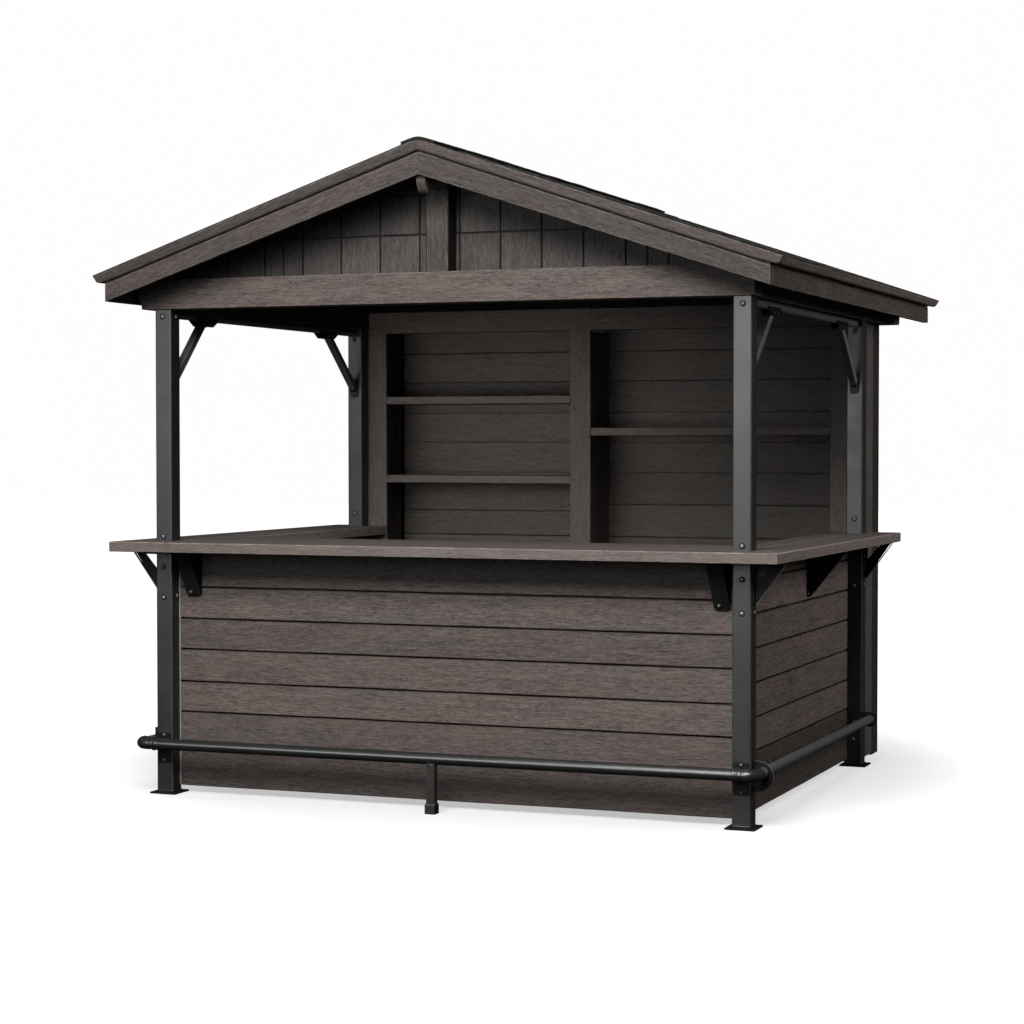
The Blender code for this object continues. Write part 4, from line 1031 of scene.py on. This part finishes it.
BED = 0.0368            # upright height of the shingles' bed above the deck's underside
EDGE = 1.4712           # outer edge of the lowest course
COURSES = 11
for side, s in SIDES:
    b = Build(side + "_shingle_courses", [side + "_shingles"], "shingle", M_SHINGLE, 251 + int(s))
    # felt under them, and a dark drip edge round it
    felt = [(0.004, roof(0.004, BED - 0.0016)), (EDGE - 0.006, roof(EDGE - 0.006, BED - 0.0016)),
            (EDGE - 0.006, roof(EDGE - 0.006, BED + 0.0012)), (0.004, roof(0.004, BED + 0.0012))]
    b.prism(mirror(felt, s), "Y", ROOF_Y0 + 0.0190, ROOF_Y1 - 0.0190, (Y, X, Z), r=0.0, mat=M_BLACK, tone=-1.0)
    step = (EDGE - 0.020) / COURSES
    for k in range(COURSES):
        x_low = EDGE - k * step
        y = ROOF_Y0 + 0.0160
        end = ROOF_Y1 - 0.0160
        y -= b.rng.uniform(0.0, 0.10) if k % 2 else 0.0
        first = True
        while y < end - 0.010:
            width = b.rng.uniform(0.085, 0.215)
            ya, yb = y, min(y + width, end)
            if end - yb < 0.030:
                yb = end
            y = yb
            ya = max(ya, ROOF_Y0 + 0.0160)
            if yb - ya < 0.012:
                continue
            raised = b.rng.random() < 0.48
            thick = 0.0036 + (0.0044 if raised else 0.0) + b.rng.uniform(-0.0006, 0.0008)
            jit = b.rng.uniform(0.0, 0.0060) + (0.0 if raised else 0.0025)
            xl = x_low - (jit if k else min(jit, 0.0022))
            xh = max(x_low - step - 0.032, 0.010)
            if k == 0:      # the lowest course lies on the drip edge
                thick = 0.0042 + (0.0010 if raised else 0.0)
            under = 0.0036 if k else 0.0060
            skew = b.rng.uniform(-0.0018, 0.0018) if k else 0.0
            g = 0.0007
            corners = []
            bm = bmesh.new()
            for yy, sk in ((ya + g, skew), (yb - g, -skew)):
                row = [(xh, roof(xh, BED + 0.0004)), (xl + sk, roof(xl + sk, BED + under)),
                       (xl + sk, roof(xl + sk, BED + under + thick)), (xh, roof(xh, BED + 0.0004 + 0.0030))]
                corners.append([bm.verts.new((s * p, yy, q)) for p, q in row])
            bm.faces.new(corners[0])
            bm.faces.new(corners[1])
            for i in range(4):
                j = (i + 1) % 4
                bm.faces.new((corners[0][i], corners[0][j], corners[1][j], corners[1][i]))
            b.solid(bm, (Y, X, Z), r=0.0010, seg=1, tone=float(np.clip(b.rng.normal(0.0, 0.8), -1.6, 1.6)))
    b.make()

b = Build("ridge_cap_shingles", ["ridge_cap"], "shingle", M_SHINGLE, 261)
HALF = 0.072
LIMIT = CAD_BOX[1][2] - 0.0004


def crest(x, apex):
    return apex - SLOPE * math.sqrt(x * x + 0.020 ** 2) + SLOPE * 0.020


fill = [(-0.068, crest(0.068, LIMIT - 0.0088)), (-0.045, crest(0.045, LIMIT - 0.0088)), (-0.020, crest(0.020, LIMIT - 0.0088)),
        (0.0, crest(0.0, LIMIT - 0.0088)), (0.020, crest(0.020, LIMIT - 0.0088)), (0.045, crest(0.045, LIMIT - 0.0088)),
        (0.068, crest(0.068, LIMIT - 0.0088)), (0.068, roof(0.068, BED + 0.0022)), (0.0, roof(0.0, BED + 0.0022)),
        (-0.068, roof(0.068, BED + 0.0022))]
b.prism(fill, "Y", ROOF_Y0 + 0.0180, ROOF_Y1 - 0.0180, (Y, X, Z), r=0.0, mat=M_BLACK, tone=-1.0)
for ya, yb in ((ROOF_Y0 + 0.0010, ROOF_Y0 + 0.0182), (ROOF_Y1 - 0.0182, ROOF_Y1 - 0.0010)):
    xs = [-0.0700, -0.045, -0.026, -0.012, 0.0, 0.012, 0.026, 0.045, 0.0700]
    rake_top = [APEX_TOP + TRIM_UP + 0.0056 - SLOPE * math.sqrt(x * x + 0.045 ** 2) + 0.0086 * math.exp(-(x / 0.075) ** 2)
                for x in xs]
    over = [max(crest(x, LIMIT - 0.0046), z + 0.0008) for x, z in zip(xs, rake_top)]
    b.prism(list(zip(xs, over)) + list(zip(xs[::-1], rake_top[::-1])), "Y", ya, yb, (Y, X, Z), r=0.0, mat=M_BLACK, tone=-1.0)
y = ROOF_Y0 + 0.0006
end = ROOF_Y1 - 0.0006
caps = 19
pitch = (end - y) / caps
for k in range(caps):
    # each cap's front end lies on the one before it, like a course seen from the rear
    ya = y + k * pitch
    yb = min(ya + pitch + 0.040, end)
    skew = b.rng.uniform(-0.0020, 0.0020)
    hump = b.rng.uniform(0.0, 0.0034)
    low_end, high_end = LIMIT - hump, LIMIT - 0.0042
    thick = 0.0050
    cols = [-HALF, -0.058, -0.042, -0.026, -0.012, 0.0, 0.012, 0.026, 0.042, 0.058, HALF]
    verts = []
    for yy, apex, wobble in ((ya, low_end, skew), (ya + 0.004, low_end + 0.0002, skew), ((ya + yb) / 2, (low_end + high_end) / 2, 0.0),
                             (yb, high_end, 0.0)):
        for x in cols:
            verts.append((x, yy + (wobble if 0 < k and abs(x) > 0.05 else 0.0), crest(x, min(apex, LIMIT))))
        for x in reversed(cols):
            verts.append((x * 0.996, yy + (wobble if 0 < k and abs(x) > 0.05 else 0.0), crest(x, min(apex, LIMIT)) - thick))
    n = 2 * len(cols)
    faces, edge = [], []
    for i in range(3):
        for c in range(n):
            j = (c + 1) % n
            faces.append((i * n + c, i * n + j, (i + 1) * n + j, (i + 1) * n + c))
            edge.append(1.0 if i == 0 or c in (len(cols) - 1, n - 1) else 0.0)
    m = len(cols)
    for base in (0, 3 * n):
        for c in range(m - 1):
            faces.append((base + c, base + c + 1, base + n - 2 - c, base + n - 1 - c))
            edge.append(1.0)
    b.add(verts, faces, edge, (Y, X, Z), tone=float(np.clip(b.rng.normal(-0.3, 0.6), -1.4, 1.2)) - (1.8 if k == 0 else 0.0))
b.make(weighted=False)

# ------------------------------------------------------------- counter brackets

def front_bracket(side, s):
    """Channel of bent sheet: a wide slanted face with a side plate at each edge."""
    b = Build("front_" + side + "_bracket_sheet", ["front_" + side + "_bracket"], "black_steel", M_STEEL, 271 + int(s))
    x = -1.144 if s < 0 else 1.164
    wall, out, drop, t = PANEL_Y - GAP, 0.130, 0.190, 0.0042
    z1 = UNDER - GAP
    half = 0.0318

    # slanted face with rounded lower corners
    foot = (0.0075, z1 - drop)
    tip = (out - 0.008, z1 - 0.006)
    stops = [0.0, 0.016, 0.05, 0.10, 0.35, 0.7, 1.0]
    widths = [half - 0.0105, half - 0.0050, half - 0.0012, half, half, half, half]
    run = unit((tip[0] - foot[0], tip[1] - foot[1]))
    verts, faces, edge = [], [], []
    for f, w in zip(stops, widths):
        u, z = foot[0] + (tip[0] - foot[0]) * f, foot[1] + (tip[1] - foot[1]) * f
        for dx, d in ((-w, t), (w, t), (w, 0.0), (-w, 0.0)):
            verts.append((x + dx, wall - u - run[1] * d, z - run[0] * d * 0.0))
    for i in range(len(stops) - 1):
        for k in range(4):
            j = (k + 1) % 4
            faces.append((i * 4 + k, i * 4 + j, (i + 1) * 4 + j, (i + 1) * 4 + k))
            edge.append(0.6 if k in (1, 3) else 0.0)
    faces += [(3, 2, 1, 0), tuple(range(len(verts) - 4, len(verts)))]
    edge += [0.6, 0.6]
    b.add(verts, faces, edge, (Z, X, Y), M_STEEL, 0.5)
    # side plates, back to the wall
    for w in (-half + 0.0022, half - 0.0022):
        plate = [(wall - 0.0006, z1 - 0.0010), (wall - out + 0.010, z1 - 0.0010), (wall - out + 0.010, z1 - 0.009),
                 (wall - 0.0072, z1 - drop + 0.0065), (wall - 0.0006, z1 - drop + 0.0065)]
        b.prism(plate, "X", x + w - 0.0021, x + w + 0.0021, (Z, Y, X), r=0.0007, seg=1, mat=M_BLACK, tone=-0.8)
    # wall tab between them, and the wider tab under the counter
    b.bar((x, wall - 0.0030, z1 - drop + 0.010), (x, wall - 0.0030, z1 - 0.002), X, 2 * half - 0.010, 0.0040, r=0.0010,
          mat=M_BLACK, tone=-0.5)
    b.bar((x, wall - 0.004, z1 - 0.0024), (x, wall - out, z1 - 0.0024), X, 2 * half + 0.0120, 0.0044, r=0.0012, seg=2, tone=0.9)
    b.bolt((x - s * 0.0 - 0.008, wall - foot[0] - 0.0125 - t, foot[1] + 0.0185), (0.0, -run[1], -run[0]), 0.0070)
    b.make()


def side_bracket(side, where, s, y, wall, out, drop, opened, bolts):
    """Flat plate on edge with a narrow lip, a wall tab and a tab under the counter."""
    name = "_".join((side, "side", where, "bracket"))
    b = Build(name + "_sheet", [name], "black_steel", M_BLACK, 281 + int(s) + int(y * 10))
    z1, t = UNDER - GAP, 0.0032
    w0 = wall + GAP

    def to(u, z):
        return (s * (w0 + u), z)

    top_l, low = (out - 0.004, z1 - 0.006), (0.010, z1 - drop + 0.004)
    if opened:
        c = 0.052
        # the plate goes round an open triangle in its inner top corner
        ring = [(0.0008, z1 - 0.0040), top_l, low, (0.0008, z1 - drop + 0.004)]
        hole3 = [(0.0165, z1 - 0.0165), (0.0165 + c, z1 - 0.0165), (0.0165, z1 - 0.0165 - c * 1.15)]
        parts = [[(0.0008, z1 - 0.0040), (out - 0.006, z1 - 0.0040), (out - 0.0170, z1 - 0.0165), (0.0008, z1 - 0.0165)],
                 [(0.0008, z1 - 0.0163), (0.0165, z1 - 0.0163), (0.0165, z1 - drop + 0.0110), (0.0008, z1 - drop + 0.004)],
                 [(0.0165 + c, z1 - 0.0163), (out - 0.0170, z1 - 0.0163), (0.0165, z1 - drop + 0.0110),
                  (0.0165, z1 - 0.0165 - c * 1.15)]]
    else:
        parts = [[(0.0008, z1 - 0.0040), top_l, low, (0.0008, z1 - drop + 0.004)]]
    for part in parts:
        b.prism([to(u, z) for u, z in part], "Y", y - t / 2, y + t / 2, (Z, X, Y), r=0.0005, seg=1, tone=-0.6)
    # lip along the slanted edge, in the paler steel: painted highlight
    d = unit((top_l[0] - low[0], 0.0, top_l[1] - low[1]))
    nrm = np.array((d[2], 0.0, -d[0]))
    pa = np.array((w0 + low[0], y, low[1])) + nrm * 0.0018
    pb = np.array((w0 + top_l[0], y, top_l[1])) + nrm * 0.0018
    flip = np.array((s, 1.0, 1.0))
    b.bar(pa * flip, pb * flip, Y, 0.0110, 0.0036, r=0.0012, seg=2, mat=M_PALE, tone=0.6)
    # wall tab with a rounded foot, and the tab under the counter
    foot = []
    hw = 0.0190 if opened else 0.0225
    for k in range(7):
        a = math.pi * k / 6
        foot.append((y + hw * math.cos(a), z1 - drop + hw * 0.62 - hw * 0.62 * math.sin(a)))
    tab = [(y + hw, z1 - 0.004)] + foot + [(y - hw, z1 - 0.004)]
    lo, hi = sorted((s * (w0 + 0.0004), s * (w0 + 0.0042)))
    b.prism(tab, "X", lo, hi, (Z, Y, X), r=0.0010, seg=2, angle=40.0, mat=M_DULL, tone=0.2)
    b.bar((s * (w0 + 0.0046), y, z1 - 0.0022), (s * (w0 + out), y, z1 - 0.0022), Y, 0.0390, 0.0038, r=0.0011, seg=2,
          mat=M_STEEL, tone=0.0)
    for dz in bolts:
        b.bolt((s * (w0 + 0.0042), y - (0.0105 if opened else 0.0120), z1 - drop + dz), s * X, 0.0068)
    b.make()


for side, s in SIDES:
    front_bracket(side, s)
    side_bracket(side, "front", s, POST / 2, POST_X, 0.130, 0.168, True, (0.150,))
    side_bracket(side, "middle", s, 1.130, PANEL_X, 0.172, 0.205, False, (0.0165,))
    side_bracket(side, "rear", s, POST_Y2 + POST / 2, POST_X, 0.130, 0.168, True, (0.150,))

# ------------------------------------------------------------- foot rail

b = Build("front_foot_rail_tube", ["front_foot_rail"], "black_steel", M_RAIL, 291)
b.tube([(-1.2800, RAIL_Y, RAIL_Z), (-1.2760, RAIL_Y, RAIL_Z), (-1.0, RAIL_Y, RAIL_Z), (-0.4, RAIL_Y, RAIL_Z), (0.4, RAIL_Y, RAIL_Z),
        (1.0, RAIL_Y, RAIL_Z), (1.2760, RAIL_Y, RAIL_Z), (1.2800, RAIL_Y, RAIL_Z)],
       [RAIL_R - 0.001] + [RAIL_R - 0.0008] * 6 + [RAIL_R - 0.001], 36, tone=0.3)
for s in (-1.0, 1.0):
    # collar ring over the joint by the post
    for xa, xb, r in ((1.2440, 1.2590, 0.0262), (1.2600, 1.2680, 0.0286)):
        b.turned((s * xa, RAIL_Y, RAIL_Z), s * X,
                 [(r - 0.0016, 0.0), (r, 0.0014), (r, xb - xa - 0.0014), (r - 0.0016, xb - xa)], 36, M_RAIL)
LEG_X = 0.002
b.bar((LEG_X, RAIL_Y, 0.0400), (LEG_X, RAIL_Y, RAIL_Z - 0.008), X, 0.0360, 0.0360, r=0.0040, seg=3, tone=-0.2)
b.turned((LEG_X, RAIL_Y, RAIL_Z - 0.0295), Z, [(0.0215, 0.0), (0.0225, 0.0016), (0.0225, 0.0060), (0.0190, 0.0100)], 28, M_STEEL)


def square_ring(bb, cx, cy, stack, r, mat, tone, seg=3):
    verts, faces, edge = [], [], []
    n = 4 * (seg + 1)
    for half, z in stack:
        for sx, sy, a0 in ((1, 1, 0), (-1, 1, 90), (-1, -1, 180), (1, -1, 270)):
            for k in range(seg + 1):
                a = math.radians(a0 + 90.0 * k / seg)
                verts.append((cx + sx * (half - r) + r * math.cos(a), cy + sy * (half - r) + r * math.sin(a), z))
    for i in range(len(stack) - 1):
        for k in range(n):
            faces.append((i * n + k, i * n + (k + 1) % n, (i + 1) * n + (k + 1) % n, (i + 1) * n + k))
            edge.append(1.0 if i in (2, 3) else 0.0)
    faces += [tuple(range(n))[::-1], tuple(range((len(stack) - 1) * n, len(stack) * n))]
    edge += [0.0, 0.0]
    bb.add(verts, faces, edge, (Z, X, Y), mat, tone)


square_ring(b, LEG_X, RAIL_Y, [(0.0218, 0.0), (0.0228, 0.0012), (0.0228, 0.0330), (0.0222, 0.0370), (0.0200, 0.0415), (0.0185, 0.0436)],
            0.0042, M_DULL, -0.4)
b.make()

for side, s in SIDES:
    b = Build("front_" + side + "_rail_mount_plate", ["front_" + side + "_rail_mount"], "black_steel", M_BLACK, 301 + int(s))
    x = s * POST_C
    b.bar((x, -0.0033, 0.1325), (x, -0.0033, 0.2585), X, 0.0600, 0.0056, r=0.0018, seg=2, tone=-0.4)
    b.tube([(x, -0.0060, RAIL_Z), (x, -0.0090, RAIL_Z), (x, -0.0460, RAIL_Z), (x, -0.0520, RAIL_Z)],
           [0.0190, 0.0160, 0.0160, 0.0160], 24, tone=-0.3)
    for z in (0.2500, 0.1440):
        b.bolt((x + 0.002, -0.0061, z), -Y, 0.0064)
    b.make()
    # side length: elbow, tube, flange on the rear post, round-nosed plate on the right, a lug on the left
    r = Build(side + "_foot_rail_tube", [side + "_foot_rail"], "black_steel", M_RAIL, 311 + int(s))
    bend = 0.040
    cx, cy = RAIL_X - bend, RAIL_Y + bend
    path = [(s * 1.2816, RAIL_Y, RAIL_Z), (s * 1.2832, RAIL_Y, RAIL_Z)]
    radii = [RAIL_R - 0.0010, RAIL_R + 0.0004]
    for k in range(15):
        t = -math.pi / 2.0 + (math.pi / 2.0) * k / 14.0
        path.append((s * (cx + bend * math.cos(t)), cy + bend * math.sin(t), RAIL_Z))
        radii.append(RAIL_R + 0.0004)
    thin = 0.0203
    path += [(s * RAIL_X, cy + 0.009, RAIL_Z), (s * RAIL_X, cy + 0.0110, RAIL_Z), (s * RAIL_X, cy + 0.0128, RAIL_Z)]
    radii += [RAIL_R + 0.0004, RAIL_R - 0.0012, thin]
    r.tube(path, radii, 36, tone=0.3)
    # the straight length in the paler steel: painted sheen
    r.tube([(s * RAIL_X, y, RAIL_Z) for y in (cy + 0.0120, 0.4, 0.9, 1.4, POST_Y2 - 0.008)], thin, 36, mat=M_PALE,
           tone=-2.5)
    flange = [(1.2345, RAIL_Z - 0.034), (1.2345, RAIL_Z + 0.034)]
    nose = []
    for k in range(17):
        t = math.pi / 2.0 - math.pi * k / 16.0
        flange.append((RAIL_X + 0.034 * math.cos(t), RAIL_Z + 0.034 * math.sin(t)))
        nose.append((POST_X + 0.0006 + 0.0790 * max(math.cos(t), 0.0) ** 0.8, RAIL_Z - 0.0170 + 0.0596 * math.sin(t)))
    r.prism(mirror(flange, s), "Y", POST_Y2 - 0.0063, POST_Y2 - 0.0004, (X, Z, Y), r=0.0016, seg=2, angle=40.0, mat=M_DULL, tone=0.3)
    if s > 0:
        r.prism(nose, "Y", 0.0364, 0.0396, (X, Z, Y), r=0.0011, seg=2, angle=40.0, mat=M_BLACK, tone=1.0)
        # its rolled edge, in the paler steel: a painted highlight line
        rim = [np.array((p + (0.0004 if 0 < i < 16 else 0.0), 0.0380, q)) for i, (p, q) in enumerate(nose)]
        r.tube(rim, 0.0011, 8, mat=M_PALE, tone=0.6)
    else:
        lug = [(POST_X + 0.0006, 0.2222), (1.3246, 0.2222), (1.3246, 0.2747), (POST_X + 0.0006, 0.2747)]
        r.prism(mirror(lug, s), "Y", 0.0362, 0.0398, (Z, X, Y), r=0.0010, seg=2, mat=M_BLACK, tone=1.0)
    r.bolt((s * 1.262, POST_Y2 - 0.0063, RAIL_Z - 0.014), -Y, 0.0066)
    r.make()

# ------------------------------------------------------------- header frames

HEAD_Z = POST_TOP - 0.0180
REACHES = {"left": (0.270, 0.320), "right": (0.335, 0.315)}     # of the front and rear braces
for side, s in SIDES:
    b = Build(side + "_header_frame_bars", [side + "_header_frame"], "black_steel", M_STEEL, 321 + int(s))
    x = s * POST_C
    ya, yb = POST + GAP, POST_Y2 - GAP
    # tube in the paler steel: painted highlight
    b.tube([(x, ya, HEAD_Z), (x, ya + 0.3, HEAD_Z), (x, 0.97, HEAD_Z), (x, yb - 0.3, HEAD_Z), (x, yb, HEAD_Z)], 0.0170, 28, mat=M_PALE,
           tone=0.8)
    for wall, out, reach in ((ya, 1.0, REACHES[side][0]), (yb, -1.0, REACHES[side][1])):
        b.turned((x, wall + out * 0.0002, HEAD_Z), out * Y, [(0.0166, 0.0), (0.0171, 0.0012), (0.0171, 0.0042), (0.0160, 0.0054)], 28, M_DULL)
        low, high = 1.745, HEAD_Z - 0.020
        p0 = np.array((x, wall + out * 0.0180, low + 0.0060))
        p1 = np.array((x, wall + out * (reach - 0.008), high))
        # brace in the paler steel, lighter on the right side than the left: painted highlight
        b.bar(p0, p1, X, 0.0310, 0.0330, r=0.0040, seg=3, steps=1, mat=M_PALE, tone=1.0 if s > 0 else -1.5)
        # round foot of the brace, on its tab
        b.turned((x - 0.0125, wall + out * 0.0200, low), X, [(0.0125, 0.0), (0.0138, 0.0012), (0.0138, 0.0238), (0.0125, 0.0250)], 24, M_STEEL)
        tab = []
        for k in range(9):
            a = math.pi * k / 8
            tab.append((x + 0.0215 * math.cos(a), low + 0.030 + 0.0215 * math.sin(a)))
        tab += [(x - 0.0215, low - 0.030)]
        for k in range(1, 8):
            a = math.pi + math.pi * k / 8
            tab.append((x + 0.0215 * math.cos(a), low - 0.030 + 0.0120 * math.sin(a)))
        tab += [(x + 0.0215, low - 0.030)]
        lo, hi = sorted((wall + out * 0.0002, wall + out * 0.0052))
        b.prism(tab, "Y", lo, hi, (Z, X, Y), r=0.0012, seg=2, angle=40.0, mat=M_DULL, tone=-0.8)
        b.bolt((x + 0.0040, wall + out * 0.0052, low + 0.033), out * Y, 0.0062)
        b.bolt((x, wall + out * 0.0336, low + 0.0005), (0.0, out * 0.94, 0.34), 0.0058)
        # gusset under the tube: a plate each side of the brace's head
        for dx in (-0.0176, 0.0176):
            c = wall + out * reach
            g = [(c - 0.103, HEAD_Z - 0.004), (c + 0.103, HEAD_Z - 0.004), (c + 0.090, HEAD_Z - 0.020),
                 (c + 0.054, HEAD_Z - 0.0398), (c - 0.054, HEAD_Z - 0.0398), (c - 0.090, HEAD_Z - 0.020)]
            b.prism(g, "X", x + dx - 0.0017, x + dx + 0.0017, (Y, Z, X), r=0.0006, seg=1, mat=M_DULL, tone=-0.6)
        for dy in (-0.030, 0.022):
            b.bolt((x - 0.0193, wall + out * (reach + dy), HEAD_Z - 0.0285), -X, 0.0046)
            b.bolt((x + 0.0193, wall + out * (reach + dy), HEAD_Z - 0.0285), X, 0.0046)
    b.make()

# ------------------------------------------------------------- floor, light, camera

floor_mesh = bpy.data.meshes.new("studio_floor")
floor_mesh.from_pydata([(-40, -40, 0), (40, -40, 0), (40, 40, 0), (-40, 40, 0)], [], [(0, 1, 2, 3)])
floor = bpy.data.objects.new("studio_floor", floor_mesh)
bpy.context.collection.objects.link(floor)
floor.location = (0.0, 0.0, -0.0005)
pale = bpy.data.materials.new("pale_floor")
pale.use_nodes = True
tree = pale.node_tree
shader = tree.nodes["Principled BSDF"]
speck = tree.nodes.new("ShaderNodeTexNoise")
speck.inputs["Scale"].default_value = 3.0
tint = tree.nodes.new("ShaderNodeMapRange")
tint.inputs["To Min"].default_value = 0.440
tint.inputs["To Max"].default_value = 0.460
tree.links.new(speck.outputs["Fac"], tint.inputs["Value"])
tree.links.new(tint.outputs["Result"], shader.inputs["Base Color"])
shader.inputs["Roughness"].default_value = 0.9
shader.inputs["Specular IOR Level"].default_value = 0.0
shader.inputs["Emission Color"].default_value = (1.0, 1.0, 1.0, 1.0)
place = tree.nodes.new("ShaderNodeTexCoord")
far = tree.nodes.new("ShaderNodeVectorMath")
far.operation = "LENGTH"
tree.links.new(place.outputs["Object"], far.inputs[0])
glow = tree.nodes.new("ShaderNodeMapRange")
glow.interpolation_type = "SMOOTHSTEP"
glow.inputs["From Min"].default_value = 1.5
glow.inputs["From Max"].default_value = 2.7
glow.inputs["To Min"].default_value = 0.50
glow.inputs["To Max"].default_value = 0.99
tree.links.new(far.outputs["Value"], glow.inputs["Value"])
tree.links.new(glow.outputs["Result"], shader.inputs["Emission Strength"])
floor_mesh.materials.append(pale)
floor.visible_diffuse = False
floor.visible_glossy = False


def area(name, at, aim, wide, high, power, colour=(1.0, 1.0, 1.0)):
    lamp = bpy.data.lights.new(name, "AREA")
    lamp.shape = "RECTANGLE"
    lamp.size, lamp.size_y = wide, high
    lamp.energy = power
    lamp.color = colour
    obj = bpy.data.objects.new(name, lamp)
    bpy.context.collection.objects.link(obj)
    obj.location = at
    obj.rotation_euler = (Vector(aim) - Vector(at)).to_track_quat("-Z", "Y").to_euler()
    return obj


area("key_softbox", (0.9, -6.6, 5.0), (0.0, -0.6, 1.0), 4.0, 2.6, 620.0)
# reflections only: a front box for the steel
gleam = area("front_softbox", (-2.1, -8.6, 2.4), (-0.2, -0.6, 1.3), 6.4, 2.2, 330.0)
gleam.visible_diffuse = False
# fill under the roof, towards the shelves
inner = area("inner_softbox", (-0.60, -0.95, 1.46), (-0.45, 2.3, 1.42), 1.7, 0.40, 3.0)
inner.data.spread = math.radians(66.0)
inner.visible_camera = False
inner.visible_glossy = False
flank = area("side_softbox", (6.0, 1.0, 3.4), (1.2, 0.2, 0.8), 3.0, 2.4, 175.0)
flank.visible_glossy = False
area("top_softbox", (-0.2, -1.2, 7.0), (0.0, 0.0, 1.0), 3.6, 3.6, 90.0)

world = bpy.data.worlds.new("studio")
bpy.context.scene.world = world
world.use_nodes = True
tree = world.node_tree
tree.nodes.clear()
path = tree.nodes.new("ShaderNodeLightPath")
coord = tree.nodes.new("ShaderNodeTexCoord")
split = tree.nodes.new("ShaderNodeSeparateXYZ")
tree.links.new(coord.outputs["Generated"], split.inputs[0])
sky = tree.nodes.new("ShaderNodeMapRange")
sky.inputs["From Min"].default_value = -0.35
sky.inputs["From Max"].default_value = 0.55
sky.inputs["To Min"].default_value = 0.04
sky.inputs["To Max"].default_value = 0.34
tree.links.new(split.outputs[2], sky.inputs["Value"])
soft = tree.nodes.new("ShaderNodeBackground")
# reflections see a darker room than the soft light suggests
dim = tree.nodes.new("ShaderNodeMapRange")
dim.inputs["To Min"].default_value = 1.0
dim.inputs["To Max"].default_value = 0.30
tree.links.new(path.outputs["Is Glossy Ray"], dim.inputs["Value"])
level = tree.nodes.new("ShaderNodeMath")
level.operation = "MULTIPLY"
tree.links.new(sky.outputs["Result"], level.inputs[0])
tree.links.new(dim.outputs["Result"], level.inputs[1])
tree.links.new(level.outputs[0], soft.inputs["Strength"])
plain = tree.nodes.new("ShaderNodeBackground")
plain.inputs["Color"].default_value = (1.0, 1.0, 1.0, 1.0)
plain.inputs["Strength"].default_value = 0.992
pick = tree.nodes.new("ShaderNodeMixShader")
out = tree.nodes.new("ShaderNodeOutputWorld")
tree.links.new(path.outputs["Is Camera Ray"], pick.inputs[0])
tree.links.new(soft.outputs[0], pick.inputs[1])
tree.links.new(plain.outputs[0], pick.inputs[2])
tree.links.new(pick.outputs[0], out.inputs[0])

scene = bpy.context.scene
scene.view_settings.view_transform = "Standard"
scene.view_settings.look = "None"
scene.view_settings.exposure = 0.0
scene.view_settings.gamma = 1.0

lens = bpy.data.cameras.new("camera")
lens.lens = 81.18
lens.sensor_width = 36.0
lens.clip_end = 200.0
camera = bpy.data.objects.new("camera", lens)
bpy.context.collection.objects.link(camera)
camera.location = (3.6598, -9.7661, 1.4766)
camera.rotation_euler = (math.pi / 2 - 0.0297, 0.0, 0.3749)
scene.camera = camera
